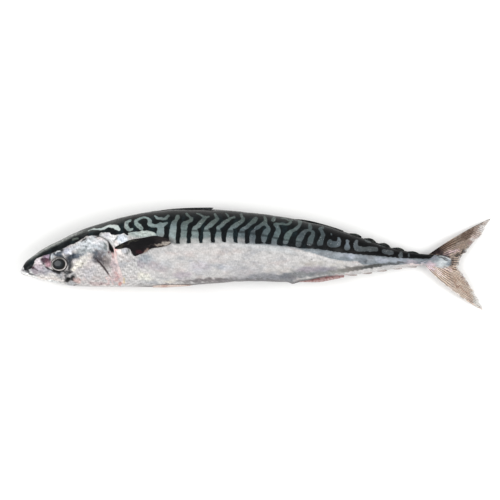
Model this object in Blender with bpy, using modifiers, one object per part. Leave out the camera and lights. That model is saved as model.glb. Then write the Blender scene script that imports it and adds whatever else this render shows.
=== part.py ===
"""A whole raw mackerel lying on its right flank, head towards -X, back towards +Y, left flank up.

The body is one loft through oval sections. Its median plane is highest at the thickest part and sags
towards the head and the tail, and the flank under it is pressed flat where it rests. The fins and the eyes
are pieces of their own, a small gap away from the body. The origin is the middle of the underside.
"""

import math

import bmesh
import bpy
from mathutils import Matrix, Vector

MM = 0.001

# Driving dimensions.
TOTAL_LENGTH = 360 * MM  # snout to the tip of the tail's upper lobe
DEPTH = 58.7 * MM  # back to belly, at the deepest section
THICKNESS = 44 * MM  # flank to flank, at the thickest section before it is pressed
GAP = 0.35 * MM  # clearance between a fin or an eye and the body
FIN_THICKNESS = 0.8 * MM
PAIRED_FIN_THICKNESS = 0.7 * MM

SNOUT_X = -TOTAL_LENGTH / 2
RING_POINTS = 28
RING_STEPS = 3  # rings in each span of the section table
FULLNESS = 2.2  # superellipse exponent of the sections; 2 would be an ellipse

# Sections: distance from the snout as a share of the length, the back and the belly as shares of the depth
# from the fish's level line, half the thickness as a share of the thickest, and the height of the median
# plane as a share of half the thickness.
SECTIONS = (
    (0.000, -0.118, -0.153, 0.06, 0.60),
    (0.006, -0.061, -0.204, 0.15, 0.61),
    (0.018, -0.002, -0.239, 0.25, 0.63),
    (0.045, 0.102, -0.284, 0.38, 0.67),
    (0.082, 0.223, -0.327, 0.51, 0.73),
    (0.120, 0.337, -0.358, 0.64, 0.79),
    (0.170, 0.450, -0.376, 0.78, 0.85),
    (0.235, 0.552, -0.378, 0.90, 0.89),
    (0.305, 0.622, -0.378, 0.98, 0.91),
    (0.385, 0.634, -0.341, 1.00, 0.91),
    (0.460, 0.608, -0.312, 0.97, 0.90),
    (0.530, 0.557, -0.302, 0.89, 0.86),
    (0.600, 0.489, -0.303, 0.76, 0.79),
    (0.665, 0.392, -0.237, 0.60, 0.69),
    (0.720, 0.278, -0.210, 0.46, 0.59),
    (0.770, 0.169, -0.162, 0.33, 0.51),
    (0.815, 0.092, -0.123, 0.23, 0.44),
    (0.850, 0.053, -0.104, 0.17, 0.40),
    (0.878, 0.044, -0.112, 0.14, 0.37),
    (0.905, 0.041, -0.140, 0.09, 0.33),
    (0.918, 0.000, -0.128, 0.04, 0.31),
)

# The right pectoral fin lies between the flank and the surface, so the flank is held up over it.
FIN_BED_HEIGHT = 1.1 * MM
FIN_BED_END = 0.325
FIN_BED_FADE = 0.020

EYE_AT = 0.082  # share of the length
EYE_Y = -4.2 * MM
EYE_RADII = (6.2 * MM, 5.8 * MM, 4.2 * MM)
EYE_SINK = 3.3 * MM  # how far the eye's centre lies under the flank

# Fins that stand on the back and the belly: where each starts and ends as shares of the length, and its
# outline as (share from start to end, height over the skin in millimetres).
ROOT_DEPTH = 4.0 * MM  # how far an outline runs into the body before it is cut to it
FIRST_DORSAL = (0.290, 0.4105, ((0, 0.2), (0.40, 0.9), (0.90, 1.4), (1, 1.6), (1, 0.2)))
SECOND_DORSAL = (0.585, 0.688, ((0, 0.2), (0.30, 1.5), (0.75, 1.3), (1, 0.9)))
ANAL = (0.592, 0.689, ((0, 0.3), (0.25, 1.8), (0.5, 3.0), (0.8, 2.8), (1, 1.8)))
DORSAL_FINLET = ((0, 0.5), (0.55, 1.8), (1, 1.4), (0.9, 0.4))
ANAL_FINLET = ((0, 0.5), (0.55, 1.2), (1, 1.1), (0.85, 0.4))
FINLETS = 5
DORSAL_FINLET_LENGTH = 0.0255
ANAL_FINLET_LENGTH = 0.0225
DORSAL_FINLET_START = 0.7005
ANAL_FINLET_START = 0.6945
DORSAL_FINLET_PITCH = 0.0303
ANAL_FINLET_PITCH = 0.0319

# Paired fins: the root and the tip as shares of the length, then the two edges along the fin. The
# pectoral's edges are heights on the level line in millimetres, the pelvic's are degrees round the body.
PECTORAL_ROOT = 0.203
PECTORAL_TIP = 0.315
PECTORAL_EDGES = (
    (0.00, 6.6, 8.4),
    (0.14, 6.6, 11.6),
    (0.27, 4.0, 14.0),
    (0.37, 1.6, 15.0),
    (0.47, 2.2, 15.4),
    (0.62, 6.0, 15.9),
    (0.82, 10.4, 16.6),
    (1.00, 14.4, 16.6),
)
PELVIC_ROOT = 0.282
PELVIC_TIP = 0.365
PELVIC_EDGES = ((0.0, 163, 171), (0.2, 158, 172), (0.6, 160, 172), (1.0, 168, 173))

# Tail outline from above, in millimetres: the lobes' edges as seen when the fish lies flat.
TAIL_ROOT_X = 132.5 * MM
TAIL_DROOP = math.radians(8)
UPPER_LEADING = ((132.5, 2.5), (139, 7.6), (151, 15.3), (166, 24.2), (176, 29.3), (179.94, 30.2))
UPPER_TRAILING = ((179.94, 30.2), (175.4, 21.5), (170.2, 14.6), (163.4, 7.0), (158.8, 1.0), (156.6, -6.5))
LOWER_TRAILING = ((156.6, -8.5), (162.3, -15.0), (167.4, -23.8), (173.6, -39.1))
LOWER_LEADING = ((171.5, -38.8), (163.4, -34.6), (151, -24.6), (139, -14.4), (132.5, -8.6))
OUTLINE_STEPS = 3


def clear_scene():
    for old in list(bpy.data.objects):
        bpy.data.objects.remove(old, do_unlink=True)


def make_collection(name, shown=True):
    made = bpy.data.collections.new(name)
    made.hide_render = not shown
    bpy.context.scene.collection.children.link(made)
    return made


def make_material(name, colour, roughness, metallic=0.0):
    made = bpy.data.materials.new(name)
    made.use_nodes = True
    made.diffuse_color = (*colour, 1)
    shader = made.node_tree.nodes["Principled BSDF"]
    shader.inputs["Base Color"].default_value = (*colour, 1)
    shader.inputs["Roughness"].default_value = roughness
    shader.inputs["Metallic"].default_value = metallic
    return made


def add_mesh_object(name, bm, collection, material=None):
    mesh = bpy.data.meshes.new(name)
    bm.to_mesh(mesh)
    bm.free()
    made = bpy.data.objects.new(name, mesh)
    collection.objects.link(made)
    if material:
        mesh.materials.append(material)
    return made


def smooth_step(low, high, value):
    share = min(max((value - low) / (high - low), 0.0), 1.0)
    return share * share * (3 - 2 * share)


def read_table(table, at):
    """The other columns of a table, read on a smooth curve through its rows."""
    last = len(table) - 1
    span = next((i for i in range(last) if at <= table[i + 1][0]), last - 1)
    before, low, high, after = (table[min(max(span + i, 0), last)] for i in (-1, 0, 1, 2))
    width = high[0] - low[0]
    share = min(max((at - low[0]) / width, 0.0), 1.0)
    rest = 1 - share
    read = []
    for column in range(1, len(low)):
        low_slope = (high[column] - before[column]) / (high[0] - before[0]) * width
        high_slope = (after[column] - low[column]) / (after[0] - low[0]) * width
        start = low[column] * (1 + 2 * share) * rest**2 + low_slope * share * rest**2
        end = high[column] * share**2 * (3 - 2 * share) - high_slope * share**2 * rest
        read.append(start + end)
    return read


def section_at(along):
    """The back, the belly, half the thickness and the median plane's height at a share of the length."""
    back, belly, half, middle = read_table(SECTIONS, along)
    return back * DEPTH, belly * DEPTH, half * THICKNESS / 2, middle * THICKNESS / 2


def station_x(along):
    return SNOUT_X + along * TOTAL_LENGTH


def lowest_skin(along):
    """How low the pressed flank may reach."""
    return FIN_BED_HEIGHT * (1 - smooth_step(FIN_BED_END, FIN_BED_END + FIN_BED_FADE, along))


def signed_power(value, power):
    return math.copysign(abs(value) ** power, value)


def skin_point(along, angle, grow=0.0):
    """A point of the skin. Angle 0 is the back, a quarter turn the left flank and a half turn the belly."""
    back, belly, half, middle = section_at(along)
    level = (back + belly) / 2
    reach = (back - belly) / 2 + grow
    across = signed_power(math.cos(angle), 2 / FULLNESS)
    out = signed_power(math.sin(angle), 2 / FULLNESS)
    height = middle + (half + grow) * out
    return Vector((station_x(along), level + reach * across, max(height, lowest_skin(along) - grow)))


def skin_normal(along, angle):
    """The outward direction at a point of the skin."""
    step = 0.002
    lengthwise = skin_point(along + step, angle) - skin_point(along - step, angle)
    around = skin_point(along, angle + step) - skin_point(along, angle - step)
    return around.cross(lengthwise).normalized()


def flank_angle(along, y):
    """The angle round the left flank at which the skin is at this y."""
    back, belly, _, _ = section_at(along)
    across = (y - (back + belly) / 2) / ((back - belly) / 2)
    return math.acos(signed_power(across, FULLNESS / 2))


def ring_shares():
    """Shares of the length of all rings: those of the table, and more in each span."""
    shares = [row[0] for row in SECTIONS]
    rings = [
        before + (after - before) * step / RING_STEPS
        for before, after in zip(shares, shares[1:])
        for step in range(RING_STEPS)
    ]
    return rings + [shares[-1]]


def loft_body(grow=0.0):
    """The closed body, or with grow the same body that much larger all round."""
    bm = bmesh.new()
    turns = [2 * math.pi * i / RING_POINTS for i in range(RING_POINTS)]
    rings = [[bm.verts.new(skin_point(along, turn, grow)) for turn in turns] for along in ring_shares()]
    for before, after in zip(rings, rings[1:]):
        for i, vertex in enumerate(before):
            bm.faces.new((vertex, before[i - 1], after[i - 1], after[i]))
    for ring, outward in ((rings[0], -grow), (rings[-1], grow)):
        bm.faces.new(ring)
        for vertex in ring:
            vertex.co.x += outward
    bmesh.ops.recalc_face_normals(bm, faces=bm.faces)
    return bm


def cut(target, cutter):
    """Takes the cutter away from the target, and applies it so that the cutter can be used again."""
    modifier = target.modifiers.new("cut", "BOOLEAN")
    modifier.operation = "DIFFERENCE"
    modifier.object = cutter
    modifier.solver = "EXACT"
    bpy.context.view_layer.update()
    graph = bpy.context.evaluated_depsgraph_get()
    result = bpy.data.meshes.new_from_object(target.evaluated_get(graph))
    target.modifiers.clear()
    target.data = result


def make_ellipsoid(name, centre, radii, collection, material=None):
    bm = bmesh.new()
    size = Matrix.Diagonal((*radii, 1))
    bmesh.ops.create_uvsphere(bm, u_segments=20, v_segments=12, radius=1, matrix=size)
    made = add_mesh_object(name, bm, collection, material)
    made.data.shade_smooth()
    made.location = centre
    return made


def outline_plate(name, points, thickness, collection, material):
    """A flat plate in its own XY plane from a filled 2D curve, made a mesh so that it can be cut."""
    curve = bpy.data.curves.new(name, "CURVE")
    curve.dimensions = "2D"
    curve.fill_mode = "BOTH"
    curve.extrude = thickness / 2
    spline = curve.splines.new("POLY")
    spline.points.add(len(points) - 1)
    for point, (x, y) in zip(spline.points, points):
        point.co = (x, y, 0, 1)
    spline.use_cyclic_u = True
    drawn = bpy.data.objects.new(name + "_outline", curve)
    collection.objects.link(drawn)
    graph = bpy.context.evaluated_depsgraph_get()
    bm = bmesh.new()
    bm.from_mesh(bpy.data.meshes.new_from_object(drawn.evaluated_get(graph)))
    bmesh.ops.remove_doubles(bm, verts=bm.verts, dist=0.01 * MM)
    bmesh.ops.recalc_face_normals(bm, faces=bm.faces)
    bpy.data.objects.remove(drawn)
    return add_mesh_object(name, bm, collection, material)


def curve_through(points):
    """Points on a smooth curve through a few 2D points, given and read in order along the curve."""
    numbered = [(i, *point) for i, point in enumerate(points)]
    count = (len(points) - 1) * OUTLINE_STEPS
    return [tuple(read_table(numbered, i / OUTLINE_STEPS)) for i in range(count + 1)]


def make_body(parts, material):
    body = add_mesh_object("body", loft_body(), parts, material)
    body.data.shade_smooth()
    body.data.set_sharp_from_angle(angle=math.radians(50))
    return body


def make_eyes(body, parts, cutters, material):
    _, _, half, middle = section_at(EYE_AT)
    for name, side in (("left_eye", 1), ("right_eye", -1)):
        centre = Vector((station_x(EYE_AT), EYE_Y, middle + side * (half - EYE_SINK)))
        make_ellipsoid(name, centre, EYE_RADII, parts, material)
        socket_radii = [radius + GAP for radius in EYE_RADII]
        cut(body, make_ellipsoid(name + "_socket", centre, socket_radii, cutters))


def make_ridge_fin(name, start, end, outline, side, parts, material, clearance):
    """A thin fin on the back (side 1) or the belly (side -1), in the median plane and cut to the body."""
    middle = (start + end) / 2
    sag = section_at(start)[3] - section_at(end)[3]
    place = Vector((station_x(middle), 0, section_at(middle)[3]))

    def edge_point(share, height):
        along = start + share * (end - start)
        skin = section_at(along)[0 if side > 0 else 1]
        return (station_x(along) - place.x, skin + side * height)

    crest = [edge_point(share, height * MM) for share, height in outline]
    root = [edge_point(share, -ROOT_DEPTH) for share in (1, 0.75, 0.5, 0.25, 0)]
    fin = outline_plate(name, crest + root, FIN_THICKNESS, parts, material)
    fin.location = place
    fin.rotation_euler = (0, math.atan2(sag, (end - start) * TOTAL_LENGTH), 0)
    cut(fin, clearance)


def make_ridge_fins(parts, dark, pale, red, clearance):
    make_ridge_fin("first_dorsal_fin", *FIRST_DORSAL, 1, parts, dark, clearance)
    make_ridge_fin("second_dorsal_fin", *SECOND_DORSAL, 1, parts, dark, clearance)
    make_ridge_fin("anal_fin", *ANAL, -1, parts, red, clearance)
    for i in range(FINLETS):
        above = DORSAL_FINLET_START + i * DORSAL_FINLET_PITCH
        below = ANAL_FINLET_START + i * ANAL_FINLET_PITCH
        name = f"dorsal_finlet_{i + 1}"
        make_ridge_fin(name, above, above + DORSAL_FINLET_LENGTH, DORSAL_FINLET, 1, parts, dark, clearance)
        name = f"anal_finlet_{i + 1}"
        make_ridge_fin(name, below, below + ANAL_FINLET_LENGTH, ANAL_FINLET, -1, parts, pale, clearance)


def make_tail_fin(parts, material, clearance):
    """The forked tail, a flat plate that droops from its root until its tips almost touch the surface."""
    outline = []
    for edge in (UPPER_LEADING, UPPER_TRAILING, LOWER_TRAILING, LOWER_LEADING):
        outline += [point for point in curve_through(edge) if point not in outline]
    slope = math.cos(TAIL_DROOP)
    flat = [((x * MM - TAIL_ROOT_X) / slope, y * MM) for x, y in outline]
    tail = outline_plate("tail_fin", flat, FIN_THICKNESS, parts, material)
    along = (TAIL_ROOT_X - SNOUT_X) / TOTAL_LENGTH
    tail.location = (TAIL_ROOT_X, 0, section_at(along)[3])
    tail.rotation_euler = (0, TAIL_DROOP, 0)
    cut(tail, clearance)


def make_skin_fin(name, root, tip, edges, turn_at, outward, collection, material):
    """A thin fin folded against the body: a grid laid on the skin, thickened away from it.

    Outward is 1 where the grid's own normal leaves the body, and -1 where it enters it.
    """
    bm = bmesh.new()
    bmesh.ops.create_grid(bm, x_segments=10, y_segments=4, size=0.5)
    for vertex in bm.verts:
        share, across = vertex.co.x + 0.5, vertex.co.y + 0.5
        along = root + share * (tip - root)
        low, high = read_table(edges, share)
        angle = turn_at(along, low + across * (high - low))
        vertex.co = skin_point(along, angle) + GAP * skin_normal(along, angle)
    fin = add_mesh_object(name, bm, collection, material)
    thicken = fin.modifiers.new("thickness", "SOLIDIFY")
    thicken.thickness = PAIRED_FIN_THICKNESS
    thicken.offset = outward


def make_pectoral_fins(parts, material):
    """The left fin lies on the flank that faces up, the right one flat on the surface under the other."""

    def turn_at(along, y):
        return flank_angle(along, y * MM)

    span = (PECTORAL_ROOT, PECTORAL_TIP)
    make_skin_fin("left_pectoral_fin", *span, PECTORAL_EDGES, turn_at, 1, parts, material)
    lower = [(share, low) for share, low, _ in PECTORAL_EDGES]
    upper = [(share, high) for share, _, high in reversed(PECTORAL_EDGES)]
    length = (PECTORAL_TIP - PECTORAL_ROOT) * TOTAL_LENGTH
    outline = [(share * length, y * MM) for share, y in lower + upper]
    right = outline_plate("right_pectoral_fin", outline, PAIRED_FIN_THICKNESS, parts, material)
    right.location = (station_x(PECTORAL_ROOT), 0, PAIRED_FIN_THICKNESS / 2)


def make_pelvic_fins(parts, material):
    """The pelvic fins are folded back along the belly, one on each side of the middle."""

    def left_turn_at(along, degrees):
        return math.radians(degrees)

    def right_turn_at(along, degrees):
        return -math.radians(degrees)

    span = (PELVIC_ROOT, PELVIC_TIP)
    make_skin_fin("left_pelvic_fin", *span, PELVIC_EDGES, left_turn_at, -1, parts, material)
    make_skin_fin("right_pelvic_fin", *span, PELVIC_EDGES, right_turn_at, 1, parts, material)


clear_scene()
parts_collection = make_collection("raw_mackerel")
cutter_collection = make_collection("cutters", shown=False)

skin = make_material("skin", (0.42, 0.45, 0.46), 0.32, 0.4)
eye_surface = make_material("eye_surface", (0.03, 0.04, 0.05), 0.08)
dark_fin = make_material("dark_fin", (0.03, 0.025, 0.028), 0.45)
pale_fin = make_material("pale_fin", (0.55, 0.50, 0.47), 0.45)
red_fin = make_material("red_fin", (0.55, 0.20, 0.17), 0.45)
tail_membrane = make_material("tail_membrane", (0.26, 0.20, 0.17), 0.5)

fish_body = make_body(parts_collection, skin)
body_clearance = add_mesh_object("body_clearance", loft_body(GAP), cutter_collection)
make_eyes(fish_body, parts_collection, cutter_collection, eye_surface)
make_ridge_fins(parts_collection, dark_fin, pale_fin, red_fin, body_clearance)
make_tail_fin(parts_collection, tail_membrane, body_clearance)
make_pectoral_fins(parts_collection, dark_fin)
make_pelvic_fins(parts_collection, pale_fin)
for cutter in cutter_collection.objects:
    cutter.hide_render = True
    cutter.display_type = "WIRE"
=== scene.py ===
import math

import bpy
import numpy as np
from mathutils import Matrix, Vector


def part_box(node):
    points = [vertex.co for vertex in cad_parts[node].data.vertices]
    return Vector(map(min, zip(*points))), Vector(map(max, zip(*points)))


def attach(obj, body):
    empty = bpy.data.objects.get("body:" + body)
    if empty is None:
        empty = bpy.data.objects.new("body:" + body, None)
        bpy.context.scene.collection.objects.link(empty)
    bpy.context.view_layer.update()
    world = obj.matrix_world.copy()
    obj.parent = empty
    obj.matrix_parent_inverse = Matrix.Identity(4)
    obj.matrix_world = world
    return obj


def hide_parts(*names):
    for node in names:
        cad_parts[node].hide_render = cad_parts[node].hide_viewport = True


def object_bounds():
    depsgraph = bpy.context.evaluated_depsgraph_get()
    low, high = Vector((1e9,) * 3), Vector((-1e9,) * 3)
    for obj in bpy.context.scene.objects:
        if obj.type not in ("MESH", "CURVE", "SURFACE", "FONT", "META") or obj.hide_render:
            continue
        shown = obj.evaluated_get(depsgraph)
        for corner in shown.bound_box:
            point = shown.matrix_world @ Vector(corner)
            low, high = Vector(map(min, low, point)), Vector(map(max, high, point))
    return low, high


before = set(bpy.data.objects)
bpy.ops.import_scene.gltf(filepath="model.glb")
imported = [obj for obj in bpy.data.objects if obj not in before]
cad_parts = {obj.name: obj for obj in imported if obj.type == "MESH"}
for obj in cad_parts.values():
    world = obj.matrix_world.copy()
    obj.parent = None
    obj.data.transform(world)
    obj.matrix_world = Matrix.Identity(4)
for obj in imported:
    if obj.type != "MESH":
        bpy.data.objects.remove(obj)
cadBox = [list(corner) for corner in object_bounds()]

# The fish is laid out in its own millimetres: s from the snout to the tail, y over the level line, z up.
fishLength = 360
tailTipDepth = 39.1
mm = (cadBox[1][0] - cadBox[0][0]) / fishLength
snoutX = cadBox[0][0]
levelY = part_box("tail_fin")[0][1] + tailTipDepth * mm
floorZ = cadBox[0][2]


def linear(code):
    # sRGB hex to linear rgb
    values = [int(code[i:i + 2], 16) / 255 for i in (1, 3, 5)]
    return np.array([v / 12.92 if v <= 0.04045 else ((v + 0.055) / 1.055) ** 2.4 for v in values])


def smoothStep(low, high, value):
    share = np.clip((value - low) / (high - low), 0, 1)
    return share * share * (3 - 2 * share)


def stretch(value, start, full, fall, end):
    # 1 from full to fall, and fading to 0 at start and at end
    return smoothStep(start, full, value) * (1 - smoothStep(fall, end, value))


def readLine(rows, at):
    # the second column, on straight lines through the rows
    return np.interp(at, *np.array(rows).T)


def readTable(rows, at):
    # the other columns, on a smooth curve through the rows
    rows = np.array(rows, float)
    keys, values = rows[:, 0], rows[:, 1:]
    slopes = np.empty_like(values)
    slopes[1:-1] = (values[2:] - values[:-2]) / (keys[2:] - keys[:-2])[:, None]
    slopes[0] = (values[1] - values[0]) / (keys[1] - keys[0])
    slopes[-1] = (values[-1] - values[-2]) / (keys[-1] - keys[-2])
    at = np.clip(at, keys[0], keys[-1])
    span = np.clip(np.searchsorted(keys, at, side="right") - 1, 0, len(keys) - 2)
    width = (keys[span + 1] - keys[span])[..., None]
    share = (at - keys[span])[..., None] / width
    rest = 1 - share
    read = values[span] * (1 + 2 * share) * rest**2 + slopes[span] * width * share * rest**2
    read += values[span + 1] * (3 - 2 * share) * share**2 - slopes[span + 1] * width * share**2 * rest
    return np.moveaxis(read, -1, 0)


def ripple(places, size, seed, waves=10):
    # a smooth random field, about 1 high, with features of this size
    chance = np.random.default_rng(seed)
    total = np.zeros(places.shape[:-1])
    for _ in range(waves):
        direction = chance.normal(size=places.shape[-1])
        direction *= 2 * math.pi / (size * chance.uniform(1.2, 3.2)) / np.linalg.norm(direction)
        total += np.sin(places @ direction + chance.uniform(0, 2 * math.pi))
    return total * math.sqrt(2 / waves)


def smoothStroke(stroke):
    # the same stroke with its corners drawn as curves
    steps = np.linspace(0, len(stroke) - 1, 4 * (len(stroke) - 1) + 1)
    return np.stack(readTable([(i, *point) for i, point in enumerate(stroke)], steps), -1)


def strokeGap(s, y, stroke):
    # distance to a stroke of (s, y, half width) points, below 0 inside it
    gap = np.full(s.shape, 1e3)
    for (s0, y0, w0), (s1, y1, w1) in zip(stroke, stroke[1:]):
        along = ((s - s0) * (s1 - s0) + (y - y0) * (y1 - y0)) / ((s1 - s0) ** 2 + (y1 - y0) ** 2)
        along = np.clip(along, 0, 1)
        away = np.hypot(s - s0 - along * (s1 - s0), y - y0 - along * (y1 - y0))
        gap = np.minimum(gap, away - w0 - along * (w1 - w0))
    return gap


def onStroke(s, y, stroke, full, none):
    # 1 where the gap to the stroke is under full, 0 where it is over none
    return 1 - smoothStep(full, none, strokeGap(s, y, stroke))


def unite(a, b, rounding):
    # the smaller of two distances, with the inner corner rounded
    share = np.clip(0.5 + (b - a) / (2 * rounding), 0, 1)
    return b + (a - b) * share - rounding * share * (1 - share)


def setInputs(tree, node, inputs):
    # each input gets a link, a colour from its code, or a plain value
    for key, value in inputs.items():
        if isinstance(value, bpy.types.NodeSocket):
            tree.links.new(value, node.inputs[key])
        elif isinstance(value, str):
            node.inputs[key].default_value = (*linear(value), 1)
        else:
            node.inputs[key].default_value = value


def addNode(tree, kind, inputs=None, **settings):
    node = tree.nodes.new(kind)
    for name, value in settings.items():
        setattr(node, name, value)
    setInputs(tree, node, inputs or {})
    return node


def newMaterial(name):
    material = bpy.data.materials.new(name)
    material.use_nodes = True
    tree = material.node_tree
    return material, tree, tree.nodes["Principled BSDF"]


def mixColour(tree, factor, a, b, blend="MIX"):
    node = addNode(tree, "ShaderNodeMix", {0: factor, 6: a, 7: b}, data_type="RGBA", blend_type=blend)
    return node.outputs[2]


def fade(tree, value, low, high, start=0.0, end=1.0):
    settings = {0: value, 1: low, 2: high, 3: start, 4: end}
    return addNode(tree, "ShaderNodeMapRange", settings, interpolation_type="SMOOTHSTEP").outputs[0]


def times(tree, colour, factor):
    grey = addNode(tree, "ShaderNodeCombineXYZ", {0: factor, 1: factor, 2: factor}).outputs[0]
    return mixColour(tree, 1.0, colour, grey, "MULTIPLY")


def addMath(tree, operation, *values):
    return addNode(tree, "ShaderNodeMath", dict(enumerate(values)), operation=operation).outputs[0]


def readAttribute(tree, name, output="Fac"):
    return addNode(tree, "ShaderNodeAttribute", attribute_name=name).outputs[output]


def addNoise(tree, vector, size, detail=2.0, roughness=0.5):
    # size in millimetres
    settings = {"Vector": vector, "Scale": 1 / (size * mm), "Detail": detail, "Roughness": roughness}
    return addNode(tree, "ShaderNodeTexNoise", settings).outputs["Fac"]


def addBump(tree, height, strength, depth, inputs=None):
    # depth in millimetres
    settings = {"Height": height, "Strength": strength, "Distance": depth * mm, **(inputs or {})}
    return addNode(tree, "ShaderNodeBump", settings).outputs[0]


def place(points):
    # fish millimetres to the frame's metres
    points = np.asarray(points, float)
    return points * mm + np.array([snoutX, levelY, floorZ])


def buildPiece(name, node, vertices, faces, uvs, attributes, material):
    mesh = bpy.data.meshes.new(name)
    mesh.from_pydata(place(vertices).tolist(), [], faces)
    mesh.uv_layers.new(name="OFBake").data.foreach_set("uv", np.asarray(uvs, float).ravel())
    for key, values in attributes.items():
        if values.ndim == 2:
            colour = mesh.attributes.new(key, "FLOAT_COLOR", "POINT")
            colour.data.foreach_set("color", np.c_[values, np.ones(len(values))].ravel())
        else:
            mesh.attributes.new(key, "FLOAT", "POINT").data.foreach_set("value", values)
    mesh.shade_smooth()
    mesh.materials.append(material)
    mesh.validate()
    piece = bpy.data.objects.new(name, mesh)
    bpy.context.scene.collection.objects.link(piece)
    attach(piece, "root")
    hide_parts(node)
    return piece


def plainPaint(s, code):
    return np.zeros(s.shape + (3,)) + linear(code)


def readColours(rows, at):
    # colours on straight lines between the rows' colour codes
    keys = [key for key, _ in rows]
    colours = np.array([linear(code) for _, code in rows])
    return np.stack([np.interp(at, keys, colours[:, k]) for k in range(3)], -1)


def blendInto(paint, weight, colour):
    # the colour is a code, or an array like the paint
    if isinstance(colour, str):
        colour = linear(colour)
    paint += weight[..., None] * (colour - paint)


def addDabs(paint, s, y, dabs, seed):
    # soft patches of colour: s, y, half length, half width, tilt in degrees, colour, strength
    places = np.stack([s, y], -1)
    ws, wy = s + 0.6 * ripple(places, 2.6, seed), y + 0.5 * ripple(places, 2.2, seed + 1)
    for cs, cy, rs, ry, tilt, code, strength in dabs:
        turn = math.radians(tilt)
        along = ((ws - cs) * math.cos(turn) + (wy - cy) * math.sin(turn)) / rs
        across = ((wy - cy) * math.cos(turn) - (ws - cs) * math.sin(turn)) / ry
        blendInto(paint, strength * (1 - smoothStep(0.45, 1.3, np.hypot(along, across))), code)


# ---- body

bodyValues = {
    "start": 0.3,
    "end": 330.4,
    "uvLength": 331,
    "headSpacing": 0.45,
    "trunkSpacing": 0.70,
    "headEnd": 96,
    "around": 152,
    "fullness": 2.2,
    "unevenness": 0.22,
    # s, back, belly, half the thickness, height of the middle
    "sections": [
        (0.3, -9.5, -11.6, 1.0, 13.3), (1.2, -7.5, -12.4, 2.4, 13.4), (2.6, -4.9, -13.0, 3.6, 13.5),
        (5, -2.1, -13.8, 4.9, 13.7), (9, 1.0, -15.0, 6.4, 14.1), (16, 5.9, -16.7, 8.3, 14.8),
        (23, 10.0, -18.4, 10.0, 15.4), (30, 13.3, -19.9, 11.3, 16.1), (43, 19.8, -21.6, 14.0, 17.3),
        (61, 26.3, -22.1, 17.0, 18.6), (84.6, 32.4, -22.2, 19.7, 19.6), (110, 36.4, -22.2, 21.5, 20.0),
        (138.6, 37.2, -20.0, 22.0, 20.0), (165.6, 35.7, -18.3, 21.3, 19.8),
        (190.8, 32.7, -17.7, 19.6, 18.9), (216, 28.7, -17.8, 16.7, 17.4), (239.4, 23.0, -13.9, 13.2, 15.2),
        (259.2, 16.3, -12.3, 10.1, 13.0), (277.2, 9.9, -9.5, 7.3, 11.2), (293.4, 5.4, -7.2, 5.1, 9.7),
        (306, 3.1, -6.1, 3.7, 8.8), (316, 2.6, -6.7, 3.1, 8.1), (323, 2.4, -8.3, 2.3, 7.6),
        (327, 1.4, -7.6, 1.6, 7.2), (330.4, -1.2, -5.0, 0.5, 6.8),
    ],
    # the flank is held up over the fin under it, then pressed flat on the surface
    "bed": [(0, 1.1), (117, 1.1), (124, 0.05), (360, 0.05)],
}


def skinPlace(s, turn):
    # turn 0 is the back, a quarter turn the left flank, a half turn the belly
    back, belly, half, middle = readTable(bodyValues["sections"], s)
    power = 2 / bodyValues["fullness"]
    across = np.sign(np.cos(turn)) * np.abs(np.cos(turn)) ** power
    out = np.sign(np.sin(turn)) * np.abs(np.sin(turn)) ** power
    y = (back + belly) / 2 + (back - belly) / 2 * across
    z = middle + half * out
    lowest = readLine(bodyValues["bed"], s)
    z = -unite(-z, -lowest, 0.6)
    return np.stack(np.broadcast_arrays(s, y, z), -1)


def flankPlace(s, y, side=1, lift=0.0):
    # the skin over a place (s, y) on the left (side 1) or right flank, lifted along its normal
    def height(s, y):
        back, belly, half, middle = readTable(bodyValues["sections"], s)
        across = np.clip((y - (back + belly) / 2) / ((back - belly) / 2), -0.999, 0.999)
        out = (1 - np.abs(across) ** bodyValues["fullness"]) ** (1 / bodyValues["fullness"])
        return middle + side * half * out

    z = height(s, y)
    slopeS, slopeY = height(s + 0.5, y) - z, height(s, y + 0.5) - z
    normal = np.stack([-slopeS / 0.5, -slopeY / 0.5, np.ones_like(z)], -1) * side
    normal /= np.linalg.norm(normal, axis=-1, keepdims=True)
    return np.stack([s, y, z], -1) + normal * np.asarray(lift)[..., None]


# The head's lines, as (s, y, half width). The gill cover's edge is (y, s).
mouthLine = [
    (1.0, -9.0, 0.1), (3.5, -9.4, 0.25), (7, -12.0, 0.3), (14, -14.4, 0.3), (24, -17.2, 0.3),
    (33, -19.4, 0.3),
]
upperJawPlate = [(9, -9, 2.0), (18, -11, 2.2), (28, -14.2, 2.6), (36, -17, 2.2)]
cheekCrease = [(58.5, -0.5, 0.2), (61.5, -3.6, 0.4), (64.6, -7.0, 0.55), (67.2, -10.6, 0.4), (69.0, -14, 0.1)]
cheekFront = [(47, 12, 0.1), (43, 6, 0.1), (41, -2, 0.1), (42, -10, 0.1), (42, -16, 0.1)]
gillSlit = [
    (68.2, 12.2, 0.2), (69.0, 10.0, 0.8), (69.8, 8.0, 1.3), (70.5, 6.2, 1.5), (71.5, 4.8, 0.8),
    (72.0, 4.0, 0.2),
]
creaseEnd = [(68.2, -12.6, 0.2), (69.8, -16.0, 0.4), (71.4, -19.4, 0.4)]
gillRoof = [(57.6, 15.2, 0.15), (60.5, 16.3, 0.4), (63.1, 15.8, 0.3), (65.6, 14.4, 0.25), (67.9, 12.5, 0.3)]
shoulderFold = [(75.2, 16.4, 0.3), (73.4, 14.3, 0.4), (72.3, 13.0, 0.1)]
girdle = [
    (71.4, 8.8, 0.4), (72.4, 4.8, 0.6), (73.6, 0.4, 0.7), (75.3, -5.2, 0.7), (76.8, -10.6, 0.9),
    (78.3, -17.6, 0.9),
]
gillEdge = [
    (-30, 72), (-21, 74.5), (-17, 76), (-11, 77.5), (-5, 77), (0, 75), (4, 72), (9, 69.2), (13, 67.2),
    (17, 65.5), (21, 62), (40, 50),
]
eyeAt = (30.1, -4.7)
nostrils = [(12.6, -1.4, 0.9), (16.8, -3.6, 1.1)]
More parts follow.
